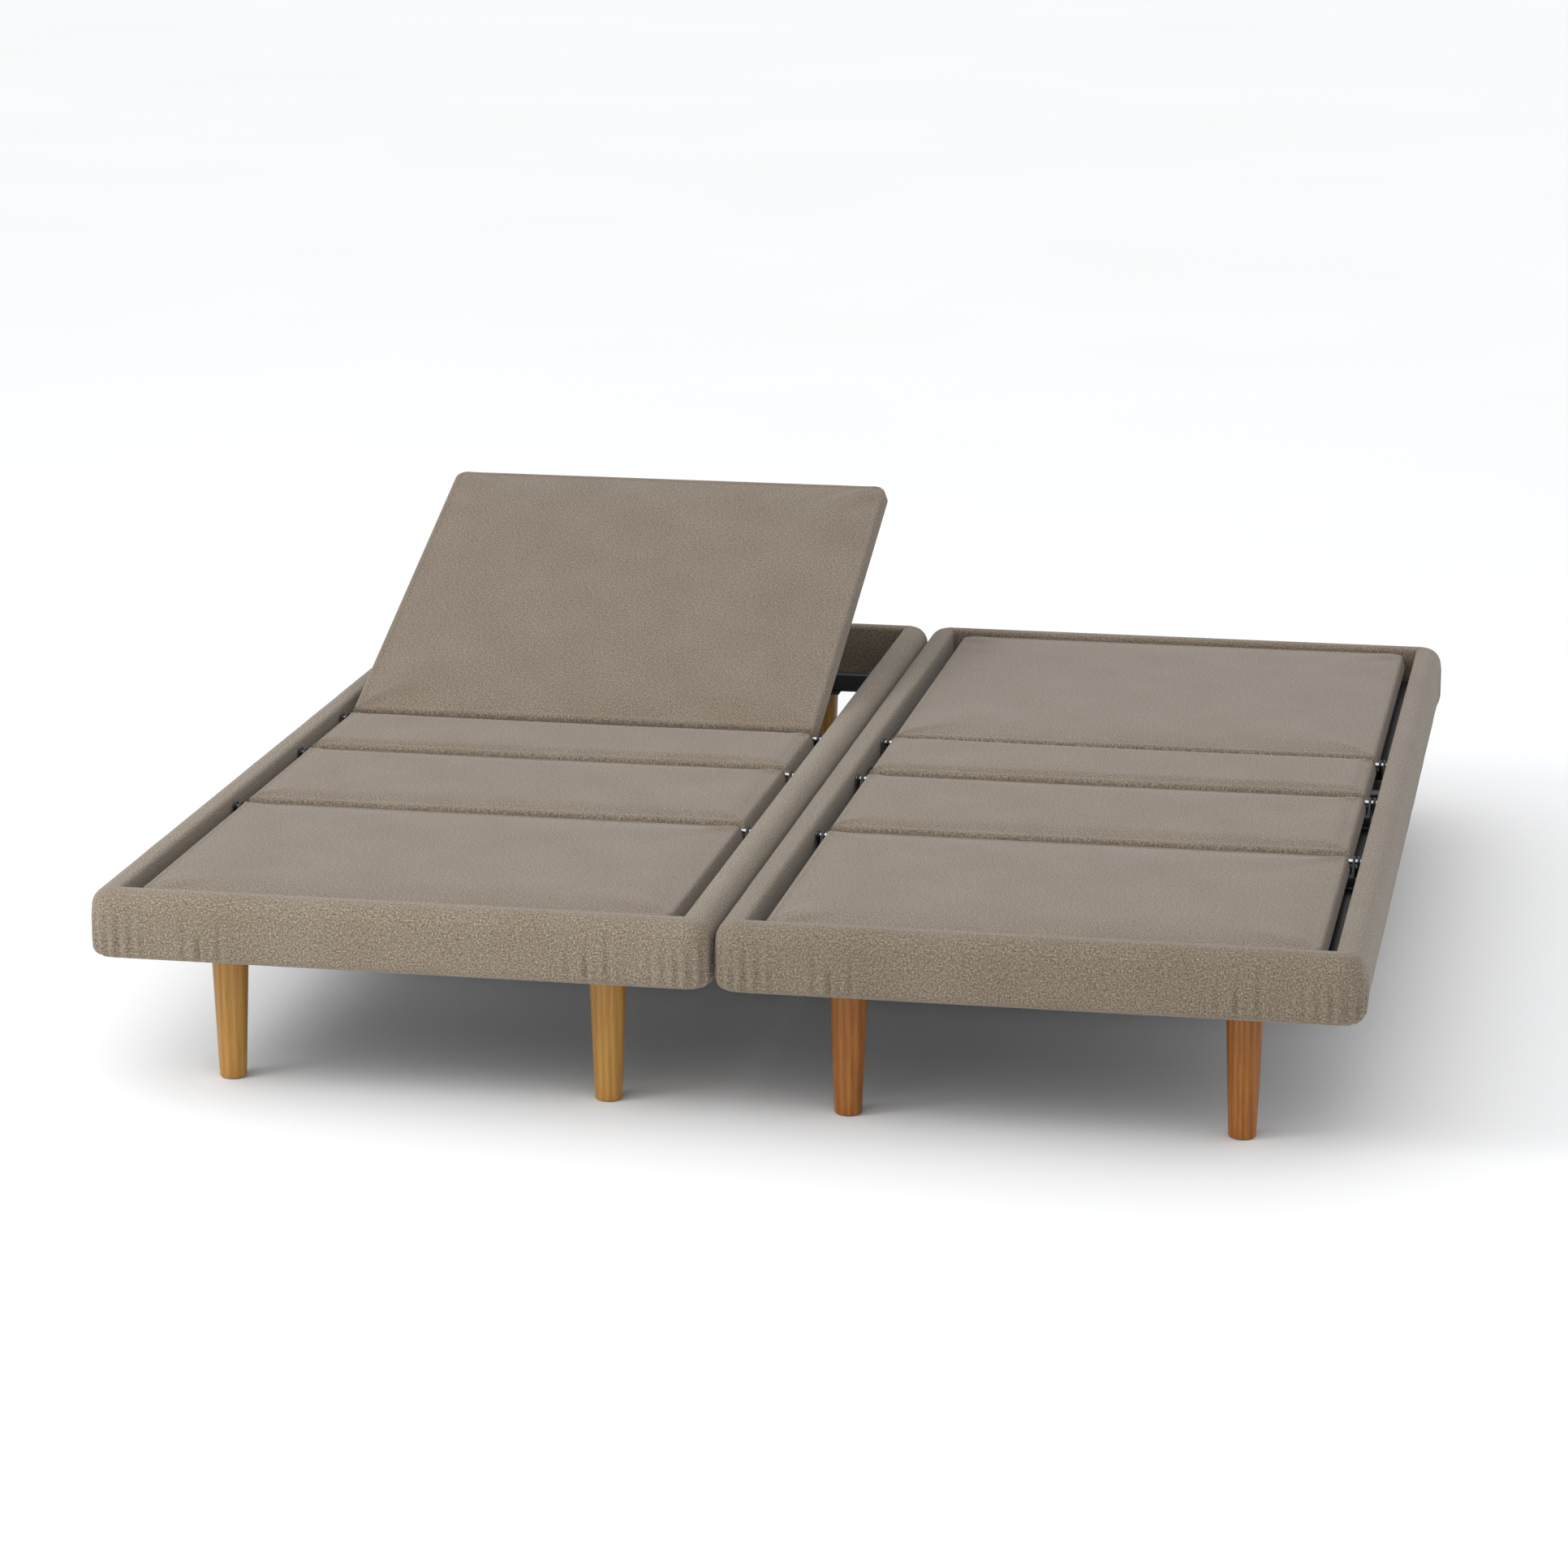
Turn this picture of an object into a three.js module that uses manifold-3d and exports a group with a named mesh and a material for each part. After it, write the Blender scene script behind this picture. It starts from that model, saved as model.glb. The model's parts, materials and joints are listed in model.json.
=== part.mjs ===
// A split adjustable bed base: two single units side by side, joined under their inner rails.
// Each unit is an upholstered surround on tapered timber legs around a welded steel chassis.
// Its deck is four padded boards: head, seat, thigh and foot. A head actuator and a leg actuator
// turn torque tubes whose arms lift the head board and the thigh board from below on rollers.
// Millimetres, +Z up, foot end towards -Y, origin on the floor under the middle of the base.
import * as THREE from "three";
import { mergeVertices } from "three/addons/utils/BufferGeometryUtils.js";
import Module from "manifold-3d";

const wasm = await Module();
wasm.setup();

const DEG = Math.PI / 180;
const GAP = 0.3; // between parts that touch

// ---- Driving dimensions ----
const UNIT = { width: 920, length: 2030, apart: 5 };
const LEG = { height: 210, foot: 20, top: 28, edge: 3, insetX: 175, insetY: 134 };
const RAIL = { height: 100, thick: 44, corner: 38, edge: 14, trim: 30 };
const BOARD = { thick: 28, edge: 6, corner: 24, sideGap: 17, endGap: 6, jointGap: 18, dip: 4 };
const SEAT = { length: 230 };
const THIGH = { length: 340 };
const FOOT = { length: 526 };
const BAR = { start: 8, wide: 22, tall: 15, runnerIn: 83, runnerWide: 24 }; // frames under the boards
const CHANNEL = { deep: 30, tall: 44, wall: 3, lift: 2, slack: 0.6, endGap: 20 };
const CROSS = { wide: 30, tall: 30, low: 16, wall: 3 };
const PIVOT = { rod: 4, hole: 4.4, eye: 8, ear: 4, apart: 3, inset: 3 };
const LIFT = { ahead: 16, below: 22.7, tube: 12, journal: 8, arm: 8, armHalf: 9, armOuter: 81 };
const ROLLER = { radius: 16, wide: 18, shaft: 5, gap: 0.4 };
const CRANK = { radius: 95, at: 100, plate: 5, half: 14, inner: 11 };
const HEAD = { arm: 280, most: 60, anchor: 486 }; // anchors are measured from the hinges
const LEGS = { arm: 260, most: 40, anchor: 472 };
const ACTUATOR = { anchorZ: 165, pin: 5, tube: 40, motor: 26, rod: 11, mouth: 100, tail: 120 };
const KNEE = { ratio: 1.35, at: 200, below: 46, studOut: 14 };
const SWING = { from: 330.5, below: 52, tube: 10, armIn: 255, arm: 8, play: 3.8, ratio: 1.3475 };
const CONTROL = { wide: 150, long: 170, tall: 46, at: 255 };
const JOIN = { long: 110, wide: 46, thick: 3, at: 600 };

// How each unit stands: the head section's angle and the leg section's angle, in degrees.
const UNITS = [
  { side: "left", sign: -1, head: 21, legs: 0 },
  { side: "right", sign: 1, head: 0, legs: 0 },
];

// ---- Levels and places worked out from them ----
const railBottom = LEG.height;
const railTop = railBottom + RAIL.height;
const railZ = [railBottom, railTop];
const boardTop = railTop - BOARD.dip;
const pivotZ = boardTop - BOARD.thick / 2;
const boardUnder = -BOARD.thick / 2; // measured from the pivots
const barTop = boardUnder - GAP;
const barUnder = barTop - BAR.tall;
const channelBottom = railBottom + CHANNEL.lift;
const channelTop = channelBottom + CHANNEL.tall;
const innerHalfWidth = UNIT.width / 2 - RAIL.thick;
const earOuter = innerHalfWidth - PIVOT.inset; // outer face of the hinge ears
const boardHalfWidth = innerHalfWidth - BOARD.sideGap;
const boardEnd = UNIT.length / 2 - RAIL.thick - BOARD.endGap;
const deckLength = 2 * boardEnd - 3 * BOARD.jointGap;
const headLength = deckLength - SEAT.length - THIGH.length - FOOT.length;
const headHinge = boardEnd - headLength - BOARD.jointGap / 2;
const thighHinge = headHinge - BOARD.jointGap - SEAT.length;
const thighSpan = THIGH.length + BOARD.jointGap; // hinge to knee
const legX = UNIT.width / 2 - LEG.insetX;
const legY = UNIT.length / 2 - LEG.insetY;
const rollerDrop = -barUnder + ROLLER.radius + ROLLER.gap; // roller centre below the pivot line
const liftDrop = LIFT.below - barUnder; // torque tube below the pivot line, clear of the bars
const liftZ = pivotZ - liftDrop;
const swingZ = pivotZ - SWING.below;
const headAnchor = headHinge - HEAD.anchor;
const legsAnchor = thighHinge + LEGS.anchor;
const seatBeam = (headHinge + thighHinge) / 2;
const armInner = LIFT.armOuter - LIFT.arm;

// ---- Materials ----
const finish = (color, roughness, metalness = 0) =>
  new THREE.MeshStandardMaterial({ color, roughness, metalness });
const oatmeal = finish(0xa99b8b, 0.95);
const deckCloth = finish(0xa39687, 0.95);
const rubberwood = finish(0xc08d4e, 0.5);
const blackSteel = finish(0x1b1c1e, 0.45, 0.4);
const zincSteel = finish(0xb4b7ba, 0.35, 0.9);
const blackPlastic = finish(0x1f2022, 0.55);
const greyNylon = finish(0xd8d8d2, 0.5);

// ---- Solids ----
function solid(geometry) {
  const bare = geometry.clone();
  bare.deleteAttribute("normal");
  bare.deleteAttribute("uv");
  const merged = mergeVertices(bare, 1e-4);
  const vertProperties = new Float32Array(merged.attributes.position.array);
  const triVerts = new Uint32Array(merged.index.array);
  return new wasm.Manifold(new wasm.Mesh({ numProp: 3, vertProperties, triVerts }));
}

function geometryOf(body) {
  const { vertProperties, triVerts } = body.getMesh();
  const geometry = new THREE.BufferGeometry();
  geometry.setAttribute("position", new THREE.BufferAttribute(vertProperties, 3));
  geometry.setIndex(new THREE.BufferAttribute(triVerts, 1));
  geometry.computeVertexNormals();
  return geometry;
}

const join = (...bodies) => bodies.reduce((sum, body) => sum.add(body));

function block([x0, x1], [y0, y1], [z0, z1]) {
  const box = new THREE.BoxGeometry(x1 - x0, y1 - y0, z1 - z0);
  return solid(box.translate((x0 + x1) / 2, (y0 + y1) / 2, (z0 + z1) / 2));
}

// A round bar along X.
function roundBar(radius, [x0, x1], [y, z] = [0, 0], sides = 12) {
  const bar = new THREE.CylinderGeometry(radius, radius, x1 - x0, sides);
  bar.rotateZ(Math.PI / 2).rotateX(Math.PI / sides);
  return solid(bar.translate((x0 + x1) / 2, y, z));
}

// A shape drawn in Y and Z, as a plate from x0 to x1.
function plate(shape, [x0, x1], curveSegments = 3) {
  const flat = new THREE.ExtrudeGeometry(shape, { depth: x1 - x0, bevelEnabled: false, curveSegments });
  const standing = new THREE.Matrix4().makeBasis(
    new THREE.Vector3(0, 1, 0),
    new THREE.Vector3(0, 0, 1),
    new THREE.Vector3(1, 0, 0),
  );
  return solid(flat.applyMatrix4(standing).translate(x0, 0, 0));
}

// A strap round two circles: one at p with radius rp, one at q with radius rq.
function strap([px, py], rp, [qx, qy], rq = rp) {
  const along = Math.atan2(qy - py, qx - px);
  const lean = Math.acos((rp - rq) / Math.hypot(qx - px, qy - py));
  const shape = new THREE.Shape();
  shape.absarc(px, py, rp, along + lean, along - lean + 2 * Math.PI, false);
  shape.absarc(qx, qy, rq, along - lean, along + lean, false);
  return shape;
}

const bothSides = (make) => [-1, 1].map((side) => make(side)).reduce((a, b) => a.add(b));
const span = (side, a, b) => (side < 0 ? [-b, -a] : [a, b]);
const across = (half) => [-half, half];
const around = (middle, width) => [middle - width / 2, middle + width / 2];

// A padded slab: an outline in X and Y with rounded corners, its top and bottom edges rounded too.
function padded([x0, x1], [y0, y1], [z0, z1], edge, corners) {
  const [frontLeft, frontRight, backRight, backLeft] = corners;
  const shape = new THREE.Shape();
  shape.moveTo(x0 + frontLeft, y0);
  shape.lineTo(x1 - frontRight, y0);
  if (frontRight) shape.absarc(x1 - frontRight, y0 + frontRight, frontRight, -Math.PI / 2, 0);
  shape.lineTo(x1, y1 - backRight);
  if (backRight) shape.absarc(x1 - backRight, y1 - backRight, backRight, 0, Math.PI / 2);
  shape.lineTo(x0 + backLeft, y1);
  if (backLeft) shape.absarc(x0 + backLeft, y1 - backLeft, backLeft, Math.PI / 2, Math.PI);
  shape.lineTo(x0, y0 + frontLeft);
  if (frontLeft) shape.absarc(x0 + frontLeft, y0 + frontLeft, frontLeft, Math.PI, 1.5 * Math.PI);
  const slab = new THREE.ExtrudeGeometry(shape, {
    depth: z1 - z0 - 2 * edge,
    bevelThickness: edge,
    bevelSize: edge,
    bevelOffset: -edge,
    bevelSegments: 2,
    curveSegments: 2,
  });
  return solid(slab.translate(0, 0, z0 + edge));
}

// ---- Upholstered surround: rounded outside, cut square where it meets the next rail ----
function endRail(end) {
  const outer = UNIT.length / 2;
  const inner = outer - RAIL.thick;
  const run = (reach) => span(end, reach, outer);
  const r = RAIL.corner;
  const corners = end < 0 ? [r, r, 0, 0] : [0, 0, r, r];
  const slab = padded(across(UNIT.width / 2), run(inner - RAIL.trim), railZ, RAIL.edge, corners);
  return slab.intersect(block(across(UNIT.width), run(inner), railZ));
}

function sideRail(side) {
  const outer = UNIT.width / 2;
  const reach = UNIT.length / 2 - RAIL.thick - GAP;
  const run = (inner) => span(side, inner, outer);
  const wide = across(reach + RAIL.trim);
  const slab = padded(run(innerHalfWidth - RAIL.trim), wide, railZ, RAIL.edge, [0, 0, 0, 0]);
  return slab.intersect(block(run(innerHalfWidth), across(reach), railZ));
}

// ---- Leg: a turned taper with an eased foot ----
function leg() {
  const top = LEG.height - GAP;
  const profile = [
    [0, 0],
    [LEG.foot - LEG.edge, 0],
    [LEG.foot, LEG.edge],
    [LEG.top, top],
    [0, top],
  ].map(([r, z]) => new THREE.Vector2(r, z));
  return solid(new THREE.LatheGeometry(profile, 16).rotateX(Math.PI / 2));
}

// ---- Chassis: two side channels, cross members, hinge ears and actuator brackets ----
function sideChannel(side) {
  const out = innerHalfWidth - CHANNEL.slack;
  const reach = UNIT.length / 2 - RAIL.thick - CHANNEL.endGap;
  const outside = block(span(side, out - CHANNEL.deep, out), across(reach), [channelBottom, channelTop]);
  const inside = block(
    span(side, out - CHANNEL.deep - 1, out - CHANNEL.wall),
    across(reach + 1),
    [channelBottom + CHANNEL.wall, channelTop - CHANNEL.wall],
  );
  return outside.subtract(inside);
}

// A channel across the unit, open below.
function crossMember(y, tall) {
  const half = innerHalfWidth - CHANNEL.slack - CHANNEL.wall / 2;
  const z0 = channelBottom;
  const outside = block(across(half), around(y, CROSS.wide), [z0, z0 + tall]);
  const inside = block(
    across(half + 1),
    around(y, CROSS.wide - 2 * CROSS.wall),
    [z0 - 1, z0 + tall - CROSS.wall],
  );
  return outside.subtract(inside);
}

function legPlate(x, y) {
  const size = 2 * LEG.top + 14;
  return block(around(x, size), around(y, size), [channelBottom - CHANNEL.lift, channelBottom + 1]);
}

// An ear on each side channel that carries a hinge rod. It leans clear of the torque tube.
function chassisEars(y, lean) {
  return bothSides((side) =>
    plate(
      strap([y + lean, channelTop - PIVOT.eye], PIVOT.eye, [y, pivotZ]),
      span(side, earOuter - PIVOT.ear, earOuter),
    ),
  );
}

// Two plates under a cross member, with the pin that the actuator's tail turns on.
function actuatorBracket(x, y) {
  const inner = CRANK.inner + 2;
  const cheeks = bothSides((side) => {
    const [a, b] = span(side, inner, inner + CRANK.plate);
    const top = channelBottom + CROSS.low - CROSS.wall - CRANK.half;
    return plate(strap([y, ACTUATOR.anchorZ], CRANK.half, [y, top]), [x + a, x + b]);
  });
  const pinHalf = inner + CRANK.plate;
  return cheeks.add(roundBar(ACTUATOR.pin, [x - pinHalf, x + pinHalf], [y, ACTUATOR.anchorZ]));
}

function chassis() {
  const members = [
    crossMember(-legY, CROSS.tall),
    crossMember(legY, CROSS.tall),
    crossMember(headAnchor, CROSS.low),
    crossMember(legsAnchor, CROSS.low),
    crossMember(seatBeam, pivotZ + barTop - channelBottom),
  ];
  const plates = [-1, 1].flatMap((i) => [-1, 1].map((j) => legPlate(i * legX, j * legY)));
  const brackets = [
    actuatorBracket(CRANK.at, headAnchor),
    actuatorBracket(-CRANK.at, legsAnchor),
  ];
  const ears = [chassisEars(headHinge, -PIVOT.eye), chassisEars(thighHinge, PIVOT.eye)];
  const frame = join(bothSides(sideChannel), ...members, ...plates, ...brackets, ...ears);
  const wide = across(innerHalfWidth + 1);
  const bores = [
    roundBar(LIFT.journal + 0.5, wide, [headHinge + LIFT.ahead, liftZ]),
    roundBar(LIFT.journal + 0.5, wide, [thighHinge - LIFT.ahead, liftZ]),
    roundBar(LIFT.journal + 0.5, wide, [thighHinge - SWING.from, swingZ]),
    roundBar(PIVOT.hole, wide, [headHinge, pivotZ]),
    roundBar(PIVOT.hole, wide, [thighHinge, pivotZ]),
  ];
  return bores.reduce((body, bore) => body.subtract(bore), frame);
}

// ---- Deck boards, drawn from the hinge that they turn on ----
function board([s0, s1], outerEnd = false) {
  const r = outerEnd ? BOARD.corner : 0;
  return padded(
    across(boardHalfWidth),
    [s0, s1],
    [boardUnder, boardUnder + BOARD.thick],
    BOARD.edge,
    [0, 0, r, r],
  );
}

const firstEdge = BOARD.jointGap / 2;
const barZ = [barUnder, barTop];
const hingeBar = [firstEdge + BAR.start, firstEdge + BAR.start + BAR.wide];
const innerEar = earOuter - PIVOT.ear - PIVOT.apart; // outer face of the ears inside the others
const hingeRod = () => roundBar(PIVOT.rod, across(earOuter + 2));

// Ears from a cross bar at s = bar to the pivot at s = pivot.
function frameEars(pivot, bar, outerFace) {
  return bothSides((side) =>
    plate(
      strap([pivot, 0], PIVOT.eye, [bar, (barTop + barUnder) / 2], BAR.tall / 2),
      span(side, outerFace - PIVOT.ear, outerFace),
    ),
  );
}

const runners = ([s0, s1]) =>
  bothSides((side) => block(span(side, BAR.runnerIn, BAR.runnerIn + BAR.runnerWide), [s0, s1], barZ));
const pivotBore = (s) => roundBar(PIVOT.hole, across(earOuter + 1), [s, 0]);

function headFrame() {
  const end = HEAD.arm + LIFT.ahead + 100;
  return join(
    block(across(innerEar), hingeBar, barZ),
    block(across(300), around(end, BAR.wide), barZ),
    runners([hingeBar[1] - 1, end]),
    frameEars(0, hingeBar[0] + BAR.tall / 2, innerEar),
  ).subtract(pivotBore(0));
}

function thighFrame() {
  const kneeBar = [thighSpan - hingeBar[1], thighSpan - hingeBar[0]];
  return join(
    block(across(innerEar), hingeBar, barZ),
    block(across(earOuter), kneeBar, barZ),
    runners([hingeBar[1] - 1, kneeBar[0] + 1]),
    frameEars(0, hingeBar[0] + BAR.tall / 2, innerEar),
    frameEars(thighSpan, kneeBar[1] - BAR.tall / 2, earOuter),
  )
    .subtract(pivotBore(0))
    .subtract(pivotBore(thighSpan));
}

// The foot frame also has two lugs, whose studs ride in the swing link's eyes.
function footFrame() {
  const lug = bothSides((side) =>
    join(
      plate(
        strap([KNEE.at, (barTop + barUnder) / 2], BAR.tall / 2, [KNEE.at, -KNEE.below], 10),
        span(side, SWING.armIn - 9, SWING.armIn - 3),
      ),
      roundBar(ACTUATOR.pin, span(side, SWING.armIn - 5, SWING.armIn + KNEE.studOut - 3), [
        KNEE.at,
        -KNEE.below,
      ]),
    ),
  );
  const end = FOOT.length - 60;
  return join(
    block(across(innerEar), hingeBar, barZ),
    block(across(SWING.armIn - 3), around(KNEE.at, BAR.wide), barZ),
    block(across(300), around(end, BAR.wide), barZ),
    runners([hingeBar[1] - 1, end]),
    frameEars(0, hingeBar[0] + BAR.tall / 2, innerEar),
    lug,
  ).subtract(pivotBore(0));
}

// ---- Lifting gear, drawn from the torque tube's axis with the section ahead along +Y ----
const tubeHalf = innerHalfWidth - CHANNEL.slack - CHANNEL.wall - 0.6;
const journalHalf = innerHalfWidth - CHANNEL.slack - 0.2;

// A cross tube with a thinner journal at each end.
const crossTube = (radius) =>
  roundBar(radius, across(tubeHalf)).add(roundBar(LIFT.journal, across(journalHalf)));

// The arm angle that keeps the roller on its track when the section stands at the given angle.
const armAngle = (arm, section) =>
  section * DEG +
  Math.asin(
    (LIFT.ahead * Math.sin(section * DEG) + liftDrop * Math.cos(section * DEG) - rollerDrop) / arm,
  );

// The motion of one lift: arm, crank and actuator all move in proportion to the section.
function liftMotion({ arm, most, anchor: back }) {
  const start = armAngle(arm, 0);
  const swing = armAngle(arm, most) - start;
  const anchor = [-back - LIFT.ahead, ACTUATOR.anchorZ - liftZ];
  const crankAt = (turn) => {
    const angle = -Math.PI / 2 - swing / 2 + turn;
    return [CRANK.radius * Math.cos(angle) - anchor[0], CRANK.radius * Math.sin(angle) - anchor[1]];
  };
  const [first, last] = [crankAt(0), crankAt(swing)];
  const reach = Math.hypot(...first);
  const tilt = Math.atan2(first[1], first[0]);
  const perSection = 1 / (most * DEG);
  return {
    arm,
    start,
    anchor,
    swing,
    reach,
    tilt,
    armRatio: swing * perSection,
    tiltRatio: (Math.atan2(last[1], last[0]) - tilt) * perSection,
    strokeRatio: (Math.hypot(...last) - reach) * perSection,
  };
}

function liftArm({ arm, start, swing }) {
  const end = [arm * Math.cos(start), arm * Math.sin(start)];
  const arms = bothSides((side) =>
    plate(strap([0, 0], LIFT.tube, end, LIFT.armHalf), span(side, armInner, LIFT.armOuter)),
  );
  const down = -Math.PI / 2 - swing / 2;
  const at = (radius) => [radius * Math.cos(down), radius * Math.sin(down)];
  const rise = CRANK.radius * (1 - Math.cos(swing / 2)); // how far the crank pin climbs its slot
  const slot = strap(at(CRANK.radius - rise - 1), ACTUATOR.pin + 1.8, at(CRANK.radius + 0.5));
  const crank = bothSides((side) => {
    const [a, b] = span(side, CRANK.inner, CRANK.inner + CRANK.plate);
    const sheet = plate(strap([0, 0], LIFT.tube + 3, at(CRANK.radius), CRANK.half), [
      CRANK.at + a,
      CRANK.at + b,
    ]);
    return sheet.subtract(plate(slot, [CRANK.at + a - 1, CRANK.at + b + 1]));
  });
  return join(crossTube(LIFT.tube), arms, crank).subtract(
    roundBar(ROLLER.shaft + 0.5, across(LIFT.armOuter + 1), end),
  );
}

function rollerShaft() {
  const inner = LIFT.armOuter + 5;
  const rollers = bothSides((side) => {
    const x = span(side, inner, inner + ROLLER.wide);
    return roundBar(ROLLER.radius, x, [0, 0], 16);
  });
  return rollers.add(roundBar(ROLLER.shaft, across(inner + ROLLER.wide + 4)));
}

// ---- Actuator, drawn from its tail pin with the push along +Y ----
const tubeMouth = (reach) => reach - ACTUATOR.mouth;

function actuatorBody({ reach }) {
  const half = ACTUATOR.tube / 2;
  const mouth = tubeMouth(reach);
  const eye = roundBar(CRANK.half - 1, across(CRANK.inner));
  const neck = block(across(CRANK.inner), [0, 40], across(10));
  const gearbox = block(across(half + 6), [30, 112], [-44, half + 2]);
  const tube = block(across(half), [100, mouth], across(half - 2));
  const collar = block(across(half + 3), [mouth - 16, mouth], across(half + 1));
  const motor = new THREE.CylinderGeometry(ACTUATOR.motor, ACTUATOR.motor, 150, 16);
  const motorCan = solid(motor.translate(0, 60 + 75, -46));
  const boreStart = mouth - ACTUATOR.tail - 5;
  const boreLength = mouth + 1 - boreStart;
  const boreRadius = ACTUATOR.rod + 0.9;
  const bore = new THREE.CylinderGeometry(boreRadius, boreRadius, boreLength, 12);
  return join(eye, neck, gearbox, tube, collar, motorCan)
    .subtract(solid(bore.translate(0, boreStart + boreLength / 2, 0)))
    .subtract(roundBar(ACTUATOR.pin + 0.6, across(half)));
}

// The inner tube, from its tail inside the outer tube to the cross pin in the crank's slots.
function actuatorRod({ reach }) {
  const tail = tubeMouth(reach) - ACTUATOR.tail;
  const length = reach - tail;
  const inner = new THREE.CylinderGeometry(ACTUATOR.rod, ACTUATOR.rod, length, 12);
  return join(
    solid(inner.translate(0, tail + length / 2, 0)),
    roundBar(CRANK.half - 2, across(CRANK.inner - 2), [reach, 0]),
    roundBar(ACTUATOR.pin, across(CRANK.inner + CRANK.plate + 2), [reach, 0]),
  );
}

// ---- Swing link: holds up the far end of the foot section ----
function swingLink() {
  const run = thighSpan + KNEE.at - SWING.from;
  const rise = SWING.below - KNEE.below;
  const length = Math.hypot(run, rise);
  const end = [run, rise];
  const middle = [(run * (length - 1.5)) / length, (rise * (length - 1.5)) / length];
  const arms = bothSides((side) => {
    const x = span(side, SWING.armIn, SWING.armIn + SWING.arm);
    return plate(strap([0, 0], LIFT.tube + 1, end, 14), x).subtract(
      roundBar(ACTUATOR.pin + SWING.play, [x[0] - 1, x[1] + 1], middle),
    );
  });
  return crossTube(SWING.tube).add(arms);
}

function controlBox() {
  const top = channelBottom - GAP;
  const box = padded(
    around(CONTROL.at, CONTROL.wide),
    around(seatBeam, CONTROL.long),
    [top - CONTROL.tall, top],
    5,
    [10, 10, 10, 10],
  );
  const socket = (x) =>
    block(around(x, 22), around(seatBeam - CONTROL.long / 2, 12), around(top - CONTROL.tall / 2, 14));
  return [-1, 0, 1].reduce((body, i) => body.subtract(socket(CONTROL.at + i * 42)), box);
}

// ---- Assembly ----
const base = new THREE.Group();

function piece(parent, name, body, material) {
  const mesh = new THREE.Mesh(geometryOf(body), material.clone());
  mesh.name = name;
  parent.add(mesh);
  return mesh;
}

// A group that turns about its own X axis, or slides along its own Y axis.
// userData.joint says how it moves: its kind, its range and what it follows.
function moving(parent, name, [y, z], joint, turned = 0) {
  const group = new THREE.Group();
  group.name = name;
  group.position.set(0, y, z);
  group.rotation.x = turned;
  group.userData.joint = joint;
  parent.add(group);
  return group;
}

function addLift(station, unit, part, motion, section, most, leader) {
  const { side } = unit;
  const turn = section * DEG;
  const follows = (ratio) => ({ follows: leader, ratio });
  const axle = moving(
    station,
    `${side}_${part}_lift_arm`,
    [LIFT.ahead, -liftDrop],
    { kind: "hinge", ...follows(motion.armRatio), most, now: section },
    motion.armRatio * turn,
  );
  piece(axle, `${side}_${part}_lift_arm`, liftArm(motion), blackSteel);
  const end = [motion.arm * Math.cos(motion.start), motion.arm * Math.sin(motion.start)];
  const wheels = moving(axle, `${side}_${part}_rollers`, end, { kind: "spin" });
  piece(wheels, `${side}_${part}_rollers`, rollerShaft(), greyNylon);
  const [anchorY, anchorZ] = motion.anchor;
  const tail = moving(
    station,
    `${side}_${part}_actuator`,
    [LIFT.ahead + anchorY, anchorZ - liftDrop],
    { kind: "hinge", ...follows(motion.tiltRatio), most, now: section },
    motion.tilt + motion.tiltRatio * turn,
  );
  tail.position.x = CRANK.at;
  piece(tail, `${side}_${part}_actuator`, actuatorBody(motion), blackPlastic);
  const rod = moving(tail, `${side}_${part}_actuator_rod`, [motion.strokeRatio * turn, 0], {
    kind: "slide",
    ...follows(motion.strokeRatio / 1000),
    most,
    now: section,
  });
  piece(rod, `${side}_${part}_actuator_rod`, actuatorRod(motion), zincSteel);
}

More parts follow.
